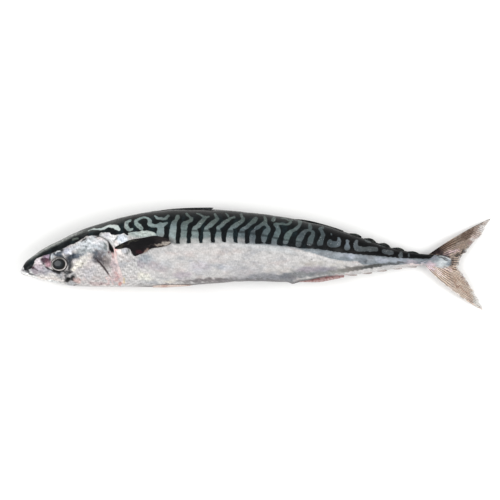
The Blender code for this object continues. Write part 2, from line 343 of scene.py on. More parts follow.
# the two keels of the tail stalk: height at s 319, and slope
keels = [(0.7, 0.06), (-4.9, 0.02)]
# where the flesh of the flank meets the tail's muscle
muscleEdge = [(214, 6.0), (236, 1.5), (262, -4.5), (300, -5.5)]
lateralLine = [
    (118, 21.4, -0.2), (128, 21.2, 0.25), (140, 20.9, 0.55), (160, 20.5, 0.65), (172, 19.7, 0.65),
    (184, 17.6, 0.5), (201, 14.0, 0.3), (214, 12.3, 0.2), (228, 9.6, 0.0), (238, 8.0, -0.3),
]


def bodyRelief(s, y, out, side):
    # height of the skin over the smooth section, in millimetres
    flank = smoothStep(0.05, 0.35, np.abs(out))
    head = 1 - smoothStep(80, 100, s)
    relief = 0.34 * onStroke(s, y, upperJawPlate, -0.6, 0.9)
    relief -= 0.65 * onStroke(s, y, mouthLine, -0.1, 0.55)
    relief -= 0.30 * onStroke(s, y, cheekCrease, 0, 1.2)
    relief -= 0.18 * onStroke(s, y, cheekFront, 0, 2.0)
    # eye: a socket with a soft lid round it
    away = np.hypot(s - eyeAt[0], y - eyeAt[1])
    relief += 0.45 * np.exp(-((away - 8.0) / 1.8) ** 2) - 1.5 * (1 - smoothStep(5.8, 7.0, away))
    for spotS, spotY, radius in nostrils:
        relief -= 0.45 * np.exp(-((s - spotS) ** 2 + (y - spotY) ** 2) / radius**2)
    # gill cover: a plate that ends in a free edge, with a slit behind its upper part
    edge = readTable(gillEdge, y)[0]
    relief += 0.85 * smoothStep(46, 66, s) * (1 - smoothStep(-0.35, 0.45, s - edge)) * smoothStep(24, 15, y)
    relief -= 0.9 * onStroke(s, y, gillSlit, -0.5, 0.6)
    relief -= 0.25 * np.exp(-((s - edge - 1.3) / 1.0) ** 2) * smoothStep(22, 12, y)
    for fold in (gillRoof, shoulderFold):
        relief -= 0.28 * onStroke(s, y, fold, -0.1, 0.7)
    # crumpled skin on the cheek, and small unevenness over the whole head
    crumple = ripple(np.stack([s * 0.45 + y * 0.5, y * 1.5 - s * 0.25], -1), 1.3, 11)
    ridges = (1 - np.abs(np.clip(crumple, -1, 1))) ** 2
    relief += 0.26 * ridges * np.exp(-(((s - 47) / 9) ** 2 + ((y + 3) / 7) ** 2))
    places = np.stack([s, y * 1.3, 9.0 * side + out], -1)
    relief += 0.10 * head * ripple(places, 2.4, 12)
    relief *= flank
    # lateral line, keels on the tail stalk, the vent, and slack flesh
    relief -= 0.12 * onStroke(s, y, lateralLine, 0.0, 0.7) * flank
    for keelY, slope in keels:
        keel = np.exp(-((y - keelY - (s - 319) * slope) / 0.7) ** 2)
        relief += 0.75 * keel * stretch(s, 311, 315, 323, 328) * flank
    relief += 1.5 * np.exp(-((s - 208.5) / 3.2) ** 2) * smoothStep(-13, -17.5, y)
    slack = 0.3 + 0.7 * stretch(s, 60, 100, 285, 315)
    relief += bodyValues["unevenness"] * slack * ripple(places, 16, 13)
    relief += 0.06 * ripple(places, 4.5, 14)
    # a low crease along the tail's muscle
    over = y - readLine(muscleEdge, s)
    crease = smoothStep(-0.5, 0.5, over) * np.exp(-np.clip(over, 0, None) / 4)
    relief += 0.22 * crease * stretch(s, 210, 235, 290, 305) * flank
    return relief


# Pale marks on the dark back, as strokes of (s, y, half width). Those that start near y 12 stand on the pale
# flank and leave a dark bar on either side.
paleMarks = [
    [(84.5, 28.8, 0.8), (82.8, 27.5, 1.2), (81.5, 25.6, 1.7), (82, 23.2, 1.7), (83.9, 21.7, 1.3),
     (86.4, 21.9, 0.8)],
    [(93.6, 22.2, 1.2), (91.2, 24.4, 1.9), (88.8, 27.0, 1.5), (91, 29.6, 0.9), (95, 30.8, 0.7),
     (98.4, 29.7, 1.0),
     (99.6, 27.4, 1.5), (99.6, 25.2, 1.6), (104, 24.3, 1.4), (108.6, 25, 1.8), (112.2, 26.3, 1.0)],
    [(108.5, 25, 2.2), (107.8, 21.5, 2.6), (107.8, 18, 2.8)],
    [(83.5, 18.6, 0.7), (87, 18.5, 1.3), (93, 18.7, 1.8), (99, 18.6, 1.9), (102, 18, 1.6)],
    [(84, 17.0, 0.7), (89, 16.4, 1.4), (96, 16.6, 1.5), (103.5, 17.2, 1.5)],
    [(103.4, 32.2, 0.7), (105.2, 30.5, 1.0), (109, 29.8, 1.0), (112.2, 30.6, 1.2), (113.6, 31.8, 0.9)],
    [(116.8, 12, 2.6), (116.8, 17, 2.6), (117.3, 21, 2.6), (117.8, 25.5, 2.3), (119.2, 28.3, 1.4),
     (120.8, 31, 1.7)],
    [(125, 12, 2.6), (125.4, 17, 2.4), (125.6, 21, 2.3), (125.9, 25, 2.4), (128.2, 27.2, 1.4),
     (131.6, 29.8, 1.2),
     (129.8, 31.4, 0.8), (127.5, 33.6, 1.0)],
    [(133.9, 12, 3.0), (134, 17, 2.9), (133.8, 20, 2.5), (133.5, 23, 1.2), (136.2, 24.5, 1.9),
     (139, 27.6, 1.6),
     (141.5, 30.3, 1.3), (144.2, 31.8, 0.8)],
    [(141, 31.2, 0.9), (137.5, 33.4, 0.7), (135, 34.2, 0.5)],
    [(143, 12, 3.0), (143, 17, 2.8), (142.8, 20, 2.4), (142.3, 22.8, 1.2), (145.3, 24.8, 1.9),
     (148.6, 27.8, 1.7),
     (151, 29.7, 1.4), (149.8, 32, 1.1), (149.2, 34, 0.8)],
    [(151.7, 12, 2.6), (151.7, 17, 2.3), (152, 20, 2.0), (151.6, 23, 1.2), (154.3, 25, 1.6),
     (157.2, 27.7, 1.4),
     (160.5, 29.8, 1.0), (163.6, 31.2, 0.9)],
    [(159.6, 31.4, 0.6), (157.5, 34, 0.6)],
    [(160.6, 12, 2.8), (160.4, 17, 2.6), (160.8, 20, 2.3), (161.2, 22.6, 1.2), (164.4, 24.6, 1.8),
     (168, 27, 1.7),
     (170.8, 29.4, 1.3), (169.8, 31.5, 1.0), (168.8, 33.5, 0.8)],
    [(169.2, 12, 2.8), (169.2, 17, 2.7), (169.6, 20, 2.2), (170, 21.8, 1.3), (173.2, 23.6, 1.6),
     (176.3, 26.4, 1.5),
     (179.3, 29, 1.9), (180.8, 30.3, 1.2)],
    [(177.6, 12, 2.3), (177.7, 16, 2.3), (178.1, 19.5, 1.8), (179, 21.5, 1.0), (181.6, 23.2, 1.6),
     (184.2, 25.2, 1.3),
     (187.2, 27.2, 1.6), (187.2, 31, 1.1)],
    [(186.3, 13.2, 1.7), (186.5, 16, 2.3), (187.6, 19.2, 2.3), (189.8, 21.9, 1.6), (188.6, 24.4, 1.3),
     (187, 26, 1.2)],
    [(194, 11.8, 2.2), (194.5, 14.5, 2.0), (196, 17.5, 2.2), (197.2, 20.6, 2.0), (196.6, 23.6, 1.6),
     (194.6, 25.6, 1.0),
     (199.5, 25.9, 0.9), (204.5, 25.6, 0.9), (207, 27.3, 1.0)],
    [(193.7, 29.0, 1.6), (193.9, 30.0, 1.5)],
    [(199.5, 30.2, 0.5), (203.5, 29.7, 0.5), (205.5, 28.6, 0.6), (208.6, 28.9, 0.5)],
    [(202.8, 12.3, 2.0), (203.8, 15.5, 2.3), (205.8, 19, 2.0), (208.8, 21, 1.2), (212, 23.2, 1.3),
     (214, 26, 1.3),
     (214, 28.2, 1.7)],
    [(212.6, 10.5, 2.0), (213.2, 13.5, 2.5), (215.2, 17, 2.2), (217.6, 20.2, 1.4), (220.8, 21.2, 0.9),
     (221.8, 24, 1.6), (221.5, 25.8, 1.2)],
    [(221.5, 11.4, 2.2), (222.2, 14.5, 2.3), (224, 18, 1.5), (223.2, 20.4, 0.8), (221, 21, 0.8)],
    [(229.2, 11.2, 2.3), (230.2, 14.2, 1.9), (231.5, 17.4, 1.5), (230, 21, 1.3), (229.5, 22.8, 1.2),
     (231.8, 23, 0.8)],
    [(236.6, 12.6, 1.6), (237.6, 10.8, 2.8), (242.3, 10.6, 2.1), (244.0, 12.8, 1.6), (243.6, 15.2, 1.0)],
    [(238, 17.6, 0.5), (238, 18.6, 0.6)],
    [(250.0, 7.9, 2.4), (250.1, 10.8, 1.0), (250.3, 13, 1.5)],
    [(257.4, 13.0, 1.1), (256.6, 10, 1.7), (257.6, 7.3, 2.2), (262, 6.7, 1.7), (267, 6.9, 1.9),
     (272, 6.8, 1.9)],
    [(278.6, 5.0, 2.0), (284.2, 4.0, 1.8)],
    [(291.2, 2.1, 1.8), (291.6, 3.8, 1.2)],
    [(297.6, 1.2, 0.7), (297.4, 3.2, 0.5)],
    [(264.5, 13.6, 0.9), (268, 12.4, 0.8)],
    [(275.5, 10.4, 0.6), (279, 9.2, 0.6)],
]
# where the dark of the back ends over the pale flank
darkEdge = [
    (60, 19), (79.5, 18.8), (81.6, 18.0), (83.8, 16.8), (87, 15.5), (95, 15), (105, 15), (112, 14),
    (118, 10.8), (130, 11.3), (150, 11.7), (158, 12), (170, 11.2), (182, 10.9), (190, 10.5), (198, 9.6),
    (207, 8.8), (216, 7.2), (226, 7.0), (234, 6.0), (242, 4.5), (255, 3.2), (265, 2.2), (275, 1.5),
    (285, 0.5), (295, -0.3), (305, -0.4), (313, -0.6), (315.5, 0.6), (317.5, 3.0), (331, 6.0),
]
# dark of the head's top: its lower edge
headDarkEdge = [
    (0, -6), (2.2, -6.5), (3.4, -9.2), (4.4, -9.8), (6.4, -9.2), (9.4, -7.0), (10.8, -2.6), (12.2, -0.4),
    (20, 2.2), (25, 3.8), (31, 6.4), (36, 9.0), (42, 11.2), (47, 14.0), (51, 16.6), (55, 16.9),
    (60.4, 17.0), (62.2, 19.2), (65, 19.7), (68.4, 19.7), (69.8, 18.2), (72.8, 17.4), (75.4, 17.8),
    (80, 18.8),
]
napeMark = [
    (52, 21.0, 0.3), (57, 22.2, 0.5), (62, 22.0, 0.7), (67.5, 24.2, 0.9), (71.5, 24.2, 1.3),
    (74.5, 23.2, 1.7), (76, 21.4, 0.8),
]
browMark = [(40.5, 14.2, 0.8), (44.5, 14.9, 0.7)]


def barDepth(s, y):
    # how deep a place lies in the dark marks, in millimetres
    places = np.stack([s, y], -1)
    s, y = s + 0.16 * ripple(places, 2.4, 15), y + 0.14 * ripple(places, 2.1, 16)
    pale = y - readLine(darkEdge, s)
    for stroke in paleMarks:
        pale = unite(pale, strokeGap(s, y, smoothStroke(stroke)), 0.5)
    head = y - readLine(headDarkEdge, s)
    for stroke in (napeMark, browMark):
        head = np.minimum(head, strokeGap(s, y, smoothStroke(stroke)))
    return np.where(s < 79, head, pale)


inkColours = {
    "mark": "#0A0F11",
    "sheen": "#16262A",
    "rear": "#050607",
    "ridge": "#111213",
    "forehead": "#3F4443",
    "foreheadHighlight": "#8E908D",
    "napeSheen": "#393B3A",
    "crown": "#2A3130",
}


def paintInk(s, y, out):
    # the dark of the back: blue black in the marks, smoky towards the ridge, paler on the forehead and the
    # nape, where a sheen is painted
    back = readTable(bodyValues["sections"], s)[0]
    ink = plainPaint(s, inkColours["mark"])
    cloud = smoothStep(0.2, 1.2, ripple(np.stack([s, y], -1), 5, 17))
    blendInto(ink, 0.5 * cloud * (1 - smoothStep(205, 240, s)), inkColours["sheen"])
    blendInto(ink, smoothStep(215, 245, s), inkColours["rear"])
    ridge = smoothStep(6.0, 2.0, back - y)
    blendInto(ink, ridge * stretch(s, 60, 90, 195, 235), inkColours["ridge"])
    # the forehead: a broad paler tone, partly painted sheen, and a narrow painted highlight along the edge
    # that the left side shows
    forehead = smoothStep(3.6, 1.4, back - y) * stretch(s, 3, 12, 38, 62)
    blendInto(ink, smoothStep(-0.7, 0.1, out) * forehead, inkColours["forehead"])
    blendInto(ink, np.exp(-((out - 0.36) / 0.22) ** 2) * forehead * 0.9, inkColours["foreheadHighlight"])
    # painted sheen: a paler grey along the nape's edge, on the left side only
    blendInto(ink, smoothStep(-0.02, 0.12, out) * ridge * stretch(s, 40, 56, 70, 90), inkColours["napeSheen"])
    # the crown of the head is a plain slate green
    crown = smoothStep(0.1, -0.5, out) * smoothStep(8.0, 1.0, back - y) * (1 - smoothStep(60, 85, s))
    blendInto(ink, crown * 0.8, inkColours["crown"])
    return ink


# soft patches, as addDabs takes them
headDabs = [
    (50, -8, 30, 16, 0, "#D0CCCB", 1.0),
    (12, -13.7, 17, 3.6, -17, "#EEEFEE", 1.0),
    (20, -10.6, 15, 3.0, -16, "#A6A5AC", 1.0),
    (28, -15.2, 9, 3.0, -20, "#DDD9D6", 1.0),
    (24, -17.4, 12, 1.4, -17, "#FFFDF8", 0.9),
    (6.5, -7, 3.4, 3.0, 40, "#141114", 1.0),
    (2.0, -8.8, 2.8, 3.6, 20, "#D9D8DA", 1.0),
    (6, -11.6, 4.5, 0.7, -25, "#3F3C40", 0.7),
    (11.0, -10.7, 4.2, 1.5, -20, "#A39BA3", 0.95),
    (6.5, -13.2, 4.2, 0.8, -24, "#F4F4F2", 0.9),
    (14.0, -2.4, 3.6, 3.4, 10, "#F8F3F8", 1.0),
    (14.8, -6.6, 4.4, 1.9, -12, "#BDB3BC", 0.8),
    (11.2, -7.6, 2.6, 1.7, -10, "#3B2430", 1.0),
    (20, -1.4, 3.8, 3.8, -20, "#64434F", 1.0),
    (18.2, -1.6, 1.7, 2.8, -15, "#3C2533", 0.9),
    (20.6, 1.4, 3.0, 1.5, 25, "#C4ADC2", 0.9),
    (22, -5, 1.5, 3.4, -25, "#A27683", 0.85),
    (17, -3.9, 1.6, 1.2, 0, "#3D2C38", 0.9),
    (20.6, -7.0, 3.6, 0.8, -18, "#2A262B", 0.9),
    (16, -5.6, 2.6, 0.6, -10, "#4A444B", 0.7),
    (23.2, 0.5, 1.4, 4.6, -10, "#2F2D34", 0.9),
    (30, 3.6, 5.5, 3.4, 20, "#4A545F", 0.95),
    (31.5, 6.6, 4.4, 1.6, 30, "#14181B", 0.9),
    (26.0, 4.2, 1.6, 1.0, 40, "#14171B", 0.8),
    # painted highlight: a glint over the eye
    (29, 4.9, 1.8, 0.8, 10, "#F4F8FB", 1.0),
    (32.6, 4.6, 1.2, 0.8, -30, "#101316", 0.85),
    # these two: painted highlights, bright arcs on the eye's upper rim
    (25.4, 1.9, 0.9, 0.8, 0, "#DDE4EA", 0.8),
    (27.3, 0.9, 2.6, 0.6, 8, "#C4CBD1", 0.8),
    (38.4, -2.5, 2.5, 7.0, 8, "#262B32", 0.95),
    (41, 1.4, 5.6, 2.8, 10, "#333D48", 1.0),
    (46.4, 1.8, 4.0, 2.0, 0, "#59636F", 0.85),
    (36.6, 5.4, 4.6, 2.6, 22, "#C4C7D2", 1.0),
    (38.5, 4.8, 2.0, 1.2, 20, "#EEEFF6", 0.9),
    (41.5, 8.4, 4.6, 1.8, 20, "#C6C9CF", 0.9),
    (34.4, 8.4, 2.0, 1.0, -15, "#101214", 0.95),
    (36.8, 8.8, 1.2, 0.8, 30, "#5B6268", 0.8),
    (27, -9.6, 9.0, 1.1, -15, "#1C1C20", 0.95),
    (35.5, -10.6, 5.4, 1.5, -3, "#1A1B1E", 0.95),
    (38.4, -8.2, 2.0, 2.2, 0, "#1F2124", 0.9),
    (31, -13.4, 2.2, 2.0, 0, "#9C9EA1", 0.8),
    (36, -13.2, 1.3, 2.8, -25, "#5E6164", 0.85),
    (40.6, -12.6, 2.4, 1.3, 30, "#C8CACC", 0.8),
    (36.6, -16.6, 3.3, 2.3, 10, "#131313", 1.0),
    (40.4, -15.0, 2.6, 2.4, 50, "#2D2B2B", 1.0),
    (42.6, -17, 2.2, 1.6, 0, "#7B6462", 0.85),
    (38, -19.8, 5, 1.2, 0, "#A6A8AC", 0.8),
    (40.5, -21.2, 4, 0.7, 3, "#3B3B3C", 0.8),
    (55, 10.6, 13, 6.0, 13, "#CFD4D8", 1.0),
    (50, 5.2, 7.0, 2.4, 5, "#8F9699", 0.85),
    (47.5, 10.4, 2.6, 1.4, 20, "#E2E6EA", 0.8),
    (52.4, 12.6, 3.0, 1.3, 20, "#DFE4E8", 0.85),
    (59, 12.4, 4.4, 2.2, 10, "#E9E9EC", 0.95),
    (62.6, 8.2, 3.4, 3.2, 0, "#B4BCC2", 0.85),
    (66.0, 8.4, 1.7, 3.6, 0, "#737D7F", 0.9),
    (50.8, 9.2, 1.2, 0.8, 20, "#6E777C", 0.85),
    (57.8, 17.6, 4.2, 1.3, -4, "#14181A", 1.0),
    (61.6, 15.0, 4.0, 1.0, -12, "#F0E6E6", 0.8),
    (48.8, 14.0, 2.8, 0.9, 30, "#14181A", 0.95),
    (51.0, 13.2, 1.6, 0.6, 40, "#3C4245", 0.8),
    (53, 6.8, 1.4, 0.9, 20, "#E8EBEF", 0.8),
    (60.5, 1.0, 6.5, 5.4, -10, "#5F5D63", 0.95),
    (64, -1.6, 4.6, 4.2, -20, "#5F595B", 0.9),
    (57.4, 4.4, 3.2, 2.2, 20, "#49525C", 0.9),
    (58.6, 0.6, 1.8, 1.8, 20, "#3E4248", 0.75),
    (67.5, -3, 4.0, 6.5, 0, "#8F8785", 0.7),
    (64.8, 2.2, 1.6, 1.0, 30, "#9C9FA6", 0.8),
    (66.8, 17.6, 3.0, 2.6, 0, "#DEDCE3", 0.95),
    # partly the skin's own white, partly a painted highlight
    (70.8, 15.4, 3.0, 2.7, -30, "#FFFFFF", 1.0),
    (77.4, 16.0, 3.6, 2.4, 15, "#E2E9F2", 1.0),
    (78.6, 13.6, 5.0, 2.6, 20, "#EDF4FC", 1.0),
    (82, 16.6, 2.6, 1.2, -30, "#B9C4CB", 0.85),
    (74.8, 11.2, 1.6, 3.0, 25, "#EFE8E6", 0.95),
    (69.0, 4.4, 1.5, 2.0, 0, "#5A2F36", 0.95),
    (71.4, 1.6, 1.0, 2.2, 15, "#B87F7E", 0.8),
    (76.6, 5.2, 2.0, 3.4, 0, "#FAF0EC", 1.0),
    (73.4, 4.6, 1.2, 4.0, 12, "#E9BFBB", 1.0),
    (80.4, 5.6, 2.4, 2.4, 0, "#C9CCD2", 0.85),
    (83.4, 5.2, 2.2, 1.6, -30, "#555E5F", 0.8),
    (72.6, -6, 3.0, 7.5, 10, "#CDBBBC", 0.85),
    (74.4, -14, 2.4, 4.4, 8, "#DDB3B0", 0.9),
    (72, -15, 3.0, 4.0, 0, "#D2BDBD", 0.7),
    (79.6, -17.6, 1.8, 2.2, 20, "#EAD3A8", 0.9),
    (76.6, -19.6, 1.8, 1.2, 0, "#DDA09A", 0.8),
    (67.0, -17.0, 1.2, 3.6, -4, "#EAD2CE", 0.9),
    (60, -19.2, 9.0, 1.6, 0, "#C4B2B1", 0.8),
    (45.6, -4.6, 5.6, 2.6, 16, "#E9E5DA", 0.9),
    (42.0, -8.2, 2.4, 1.4, 25, "#FBF6E8", 0.95),
    (47.4, -2.4, 3.4, 0.5, 22, "#8F8A80", 0.8),
    (48.8, -4.4, 1.8, 0.7, 25, "#6F6B62", 0.85),
    (45.6, -6.6, 2.6, 0.4, 18, "#9B958A", 0.8),
    (50.5, 0.4, 6.0, 2.0, 10, "#CDCAC4", 0.8),
    (44.5, -17.4, 3.4, 2.4, 0, "#D6BDB7", 0.9),
    (50, -15.2, 1.6, 2.6, -20, "#E0CFCB", 0.8),
    (62.6, -19.6, 2.0, 0.8, 0, "#8D7B7D", 0.7),
    (52, -12, 6.0, 4.0, 20, "#CFCCCF", 0.8),
    (56.6, -6.4, 3.2, 2.0, 30, "#D9D7D8", 0.7),
]
trunkDabs = [
    (84, -4, 5.0, 10.0, 0, "#C6BFC0", 0.9),
    (86.5, -0.6, 4.2, 1.6, -20, "#E4DEDC", 0.8),
    (82, 3.0, 3.0, 2.6, 0, "#AEB0B8", 0.8),
    (97, -1.6, 7.5, 4.8, -12, "#A9AFB5", 0.95),
    (92, -5, 5.0, 3.0, -30, "#B3ADB3", 0.8),
    (104, -6.5, 9.0, 3.4, -15, "#BDB4B8", 0.75),
    (110, -6, 8.0, 4.4, 0, "#B4B8BE", 0.5),
    (96, -14.5, 7.0, 3.2, -20, "#EFEDE2", 0.9),
    (98, -16.0, 2.6, 1.2, 10, "#F4F2EA", 0.9),
    (108, -17.2, 3.4, 1.4, 0, "#F0EEE8", 0.9),
    (115, -18.0, 4.0, 1.2, 5, "#F1EBDD", 0.85),
    (119.5, -16.4, 2.0, 0.8, 0, "#F7F3EC", 0.9),
    (84, -18, 4.0, 2.2, 0, "#D2CBC6", 0.7),
    # these two dabs are painted shade along the belly's edge
    (88, -20.3, 8.0, 0.7, 0, "#8D8886", 0.7),
    (112, -20.2, 16, 0.6, 0, "#857F7E", 0.75),
    (125, -13, 7.0, 3.0, 0, "#C4BBC2", 0.8),
    (138, -7, 9.0, 5.0, 0, "#C9C8D2", 0.6),
    (142, -14, 3.2, 1.4, 0, "#DCDDDB", 0.7),
    (150, 5, 20, 3.0, 0, "#D6D1CE", 0.5),
    (120, 3, 14, 3.4, 0, "#D8D4D2", 0.5),
    # painted shade along the belly's edge
    (150, -16.8, 34, 1.9, 2, "#7C7778", 0.95),
    (158, -7, 7, 3.0, 0, "#D5D6DB", 0.7),
    (170, -14.5, 14, 2.4, 0, "#B2B1B4", 0.8),
    (172, -9.6, 14, 3.8, 0, "#BCBBBE", 0.75),
    (140, -12, 9, 3.4, 0, "#C4C3C4", 0.5),
    (190, -14.2, 16, 3.0, 0, "#8F9095", 0.9),
    (205, -14, 9.0, 3.6, 0, "#7F8288", 0.9),
    # painted shade along the belly's edge
    (184, -16.8, 20, 1.2, 0, "#6E6C6F", 0.8),
    (200, -9.6, 14, 2.0, 0, "#D0CCC8", 0.7),
    (215, -12.4, 12, 3.2, 0, "#87898B", 0.9),
    (222, -8.6, 12, 2.6, 2, "#9D96A0", 0.8),
    (236, -9, 10, 2.2, 4, "#A09BA3", 0.8),
    (228, -12.6, 12, 2.2, 6, "#83878A", 0.8),
    (246, -9.6, 12, 2.4, 8, "#8B8B86", 0.85),
    (256, -8.0, 10, 2.2, 8, "#7E7A76", 0.95),
    (270, -6.2, 13, 1.6, 8, "#5A5B5A", 1.0),
    (288, -3.9, 9, 0.9, 5, "#5A5C5F", 0.95),
    (241, -14.4, 13, 1.3, 9, "#A98586", 0.65),
    (217, 0.3, 1.3, 0.5, 0, "#8D9194", 0.7),
    (222.3, -0.6, 1.4, 0.6, 10, "#6F7272", 0.8),
    (229.8, -0.8, 1.2, 0.4, 0, "#A2A6A8", 0.6),
    (250, 2.2, 10, 1.8, -4, "#A4A9B2", 0.8),
    (253.5, 1.4, 3.0, 2.2, 0, "#B9C0CB", 0.7),
    (262, -1.4, 4, 3, 0, "#747B82", 0.85),
    (263.5, -2.6, 2.0, 0.8, 0, "#4F5458", 0.8),
    (277, -1.6, 6, 2.4, 0, "#A9AEB9", 0.8),
    (290, -1.6, 8, 1.6, 3, "#A1A8B2", 0.8),
    (300, -3.0, 6, 1.6, 0, "#A9A2AB", 0.8),
    (304, -5.0, 9, 1.0, 0, "#E6D6D4", 0.8),
    (244, -5.0, 8, 2.4, 4, "#D9D5CF", 0.8),
    (224, -4.0, 12, 2.4, 0, "#BDBAB5", 0.8),
    (308.5, -3.6, 3.4, 0.5, 38, "#D9D6DC", 0.8),
    (309, -2.4, 4.0, 0.6, 38, "#6E6D74", 0.7),
    (315.0, -5.6, 4.4, 3.0, -10, "#E6D2D9", 1.0),
    (314.5, -8.2, 2.6, 0.9, 0, "#FBE3E8", 0.9),
    (323.0, -4.2, 4.6, 3.4, 0, "#CFD5D8", 1.0),
    (324.6, 1.4, 5.0, 1.9, -10, "#2B2729", 0.95),
    (323.6, 1.2, 2.3, 0.8, -8, "#BFC5C9", 1.0),
    (328.4, -0.3, 2.6, 0.5, -24, "#D0D3D5", 0.95),
    (325.6, -1.5, 3.0, 0.5, -24, "#3A393A", 0.9),
    (317.8, -7.9, 3.6, 0.6, -6, "#4C3C40", 0.9),
    (330.4, -3.2, 1.2, 3.0, 0, "#6A6462", 0.7),
    (327, -7.4, 3.0, 0.6, 12, "#6B5C55", 0.7),
    (319.5, 3.6, 5.0, 1.6, 8, "#241B1D", 1.0),
    (316.5, 0.2, 2.4, 1.6, 0, "#8B8B95", 0.7),
]
skinColours = {
    "flank": "#D3D1D0",
    "bellyEdgeShade": "#544F4F",
    "band": "#8E969C",
    "thread": "#8E908F",
    "overThread": "#C8CDD0",
    "markTop": "#545F5B",
    "edgeShade": "#757D82",
    "frontPale": "#C3CDC8",
    "lip": "#45424A",
}
# strokes over the skin: stroke, gap that is still full, gap where it ends, colour, strength
skinStrokes = [
    # the crease here, and the roof, fold and slit lines below, are painted shade in the grooves that
    # bodyRelief cuts along the same strokes
    (cheekCrease, -0.1, 0.7, "#352A2B", 0.95),
    (creaseEnd, -0.3, 0.5, "#F0D5D1", 0.8),
    (girdle, -0.3, 0.6, "#F3DEDB", 0.85),
    (gillRoof, -0.2, 0.5, "#3F3D3C", 0.75),
    (shoulderFold, -0.2, 0.5, "#4A5750", 0.8),
    (gillSlit, -0.2, 0.6, "#0B090A", 1.0),
    (napeMark, 0.0, 0.9, "#CFDAD7", 1.0),
    (browMark, 0.0, 0.9, "#59625C", 1.0),
]
# the tone of the pale marks along the fish, and of their feet on the flank
markTones = [
    (80, "#93A19F"), (92, "#8C9D9A"), (108, "#8B9B9C"), (117, "#9AA9AA"), (126, "#6F7E7D"),
    (134, "#818F8E"), (150, "#748283"), (165, "#6F7D80"), (178, "#525D62"), (196, "#5E6D6F"),
    (206, "#62716F"), (214, "#586265"), (222, "#4C585A"), (236, "#4F595C"), (250, "#6D7880"),
    (262, "#535859"), (290, "#4C5153"),
]
footTones = [
    (112, "#8B8D8C"), (118, "#838584"), (125, "#A6A8A6"), (134, "#B6B8B6"), (151, "#AFB1B1"),
    (168, "#9DA1A2"), (178, "#676F74"), (200, "#656E72"), (213, "#454D50"), (240, "#4A5154"),
    (300, "#4F5558"),
]
dottedThread = [(150, 9), (154, 8.3), (181, 5.0), (214, 1.7), (232, -0.8)]
bandBorder = [
    (200, 9.5), (212, 6.6), (224.5, 3.4), (236.5, -0.4), (246, -2.2), (258, -2.4), (262, -5.0),
    (275, -5.8), (300, -4.6), (318, -6.0),
]


def paintSkin(s, y, out):
    # every colour of the skin but the dark marks, which the material lays over it
    belly = readTable(bodyValues["sections"], s)[1]
    paint = plainPaint(s, skinColours["flank"])
    over = y - readLine(darkEdge, s)
    # painted shade: a darker strip along the belly's edge on the side that faces up, fading out on the right
    # flank
    bellyShade = (1 - smoothStep(0.3, 2.0, y - belly)) * stretch(s, 84, 100, 235, 250)
    blendInto(paint, 0.9 * bellyShade * smoothStep(-0.3, 0.0, out), skinColours["bellyEdgeShade"])
    # a blue-grey band under the dark of the rear half, with a crisp lower border
    band = smoothStep(-0.4, 0.4, y - readLine(bandBorder, s)) * smoothStep(207, 216, s)
    blendInto(paint, band * (1 - smoothStep(-0.5, 0.5, over)), skinColours["band"])
    # a faint dotted thread along the flank, with a cooler tone over it
    thread = y - readLine(dottedThread, s)
    dotted = 0.5 + 0.5 * ripple(np.stack([s, y * 0.3], -1), 2.5, 23)
    faint = np.exp(-(thread / 0.55) ** 2) * stretch(s, 150, 165, 226, 234)
    blendInto(paint, np.clip(faint * dotted, 0, 1) * 0.55, skinColours["thread"])
    above = smoothStep(0, 2.5, thread) * stretch(s, 150, 175, 205, 214)
    blendInto(paint, above * 0.5, skinColours["overThread"])
    # the pale marks: their tone along the fish, their pale feet and their dull tops
    blendInto(paint, smoothStep(-0.8, 2.0, over) * smoothStep(78, 82, s), readColours(markTones, s))
    blendInto(paint, stretch(over, -1.0, 0.4, 2.0, 5.5) * smoothStep(104, 112, s), readColours(footTones, s))
    blendInto(paint, smoothStep(21, 29.5, y) * smoothStep(100, 116, s) * 0.85, skinColours["markTop"])
    shade = np.exp(-((over + 0.2) / 1.1) ** 2) * stretch(s, 170, 195, 296, 306)
    blendInto(paint, shade * 0.85, skinColours["edgeShade"])
    frontMark = smoothStroke(paleMarks[3])
    blendInto(paint, onStroke(s, y, frontMark, -0.6, 1.2) * 0.9, skinColours["frontPale"])
    head = s < 90
    for part, dabs in ((head, headDabs), (~head, trunkDabs)):
        dabbed = paint[part]
        addDabs(dabbed, s[part], y[part], dabs, 21)
        share = smoothStep(0.0, 0.12, np.abs(out[part]))[:, None]
        paint[part] += share * (dabbed - paint[part])
    # fine wrinkles on the head, calmer streaks on the trunk, none on the back's and the belly's middle
    wrinkles = ripple(np.stack([s * 0.6 + y * 0.4, y * 1.2 - s * 0.3], -1), 1.2, 24)
    wrinkles += 0.9 * ripple(np.stack([s, y], -1), 0.8, 25)
    streaks = ripple(np.stack([s * 0.35, y], -1), 1.3, 26)
    calm = smoothStep(88, 112, s)
    rough = smoothStep(0.05, 0.4, np.abs(out))
    grain = 1 + rough * (0.145 * wrinkles * (1 - 0.75 * calm) + 0.05 * streaks * calm)
    paint *= grain[..., None].clip(0.4, 1.4)
    for stroke, full, none, colour, strength in skinStrokes:
        blendInto(paint, onStroke(s, y, stroke, full, none) * strength, colour)
    lip = onStroke(s, y, mouthLine, 0.0, 0.6) * (1 - smoothStep(8, 24, s))
    blendInto(paint, lip * 0.6, skinColours["lip"])
    return paint


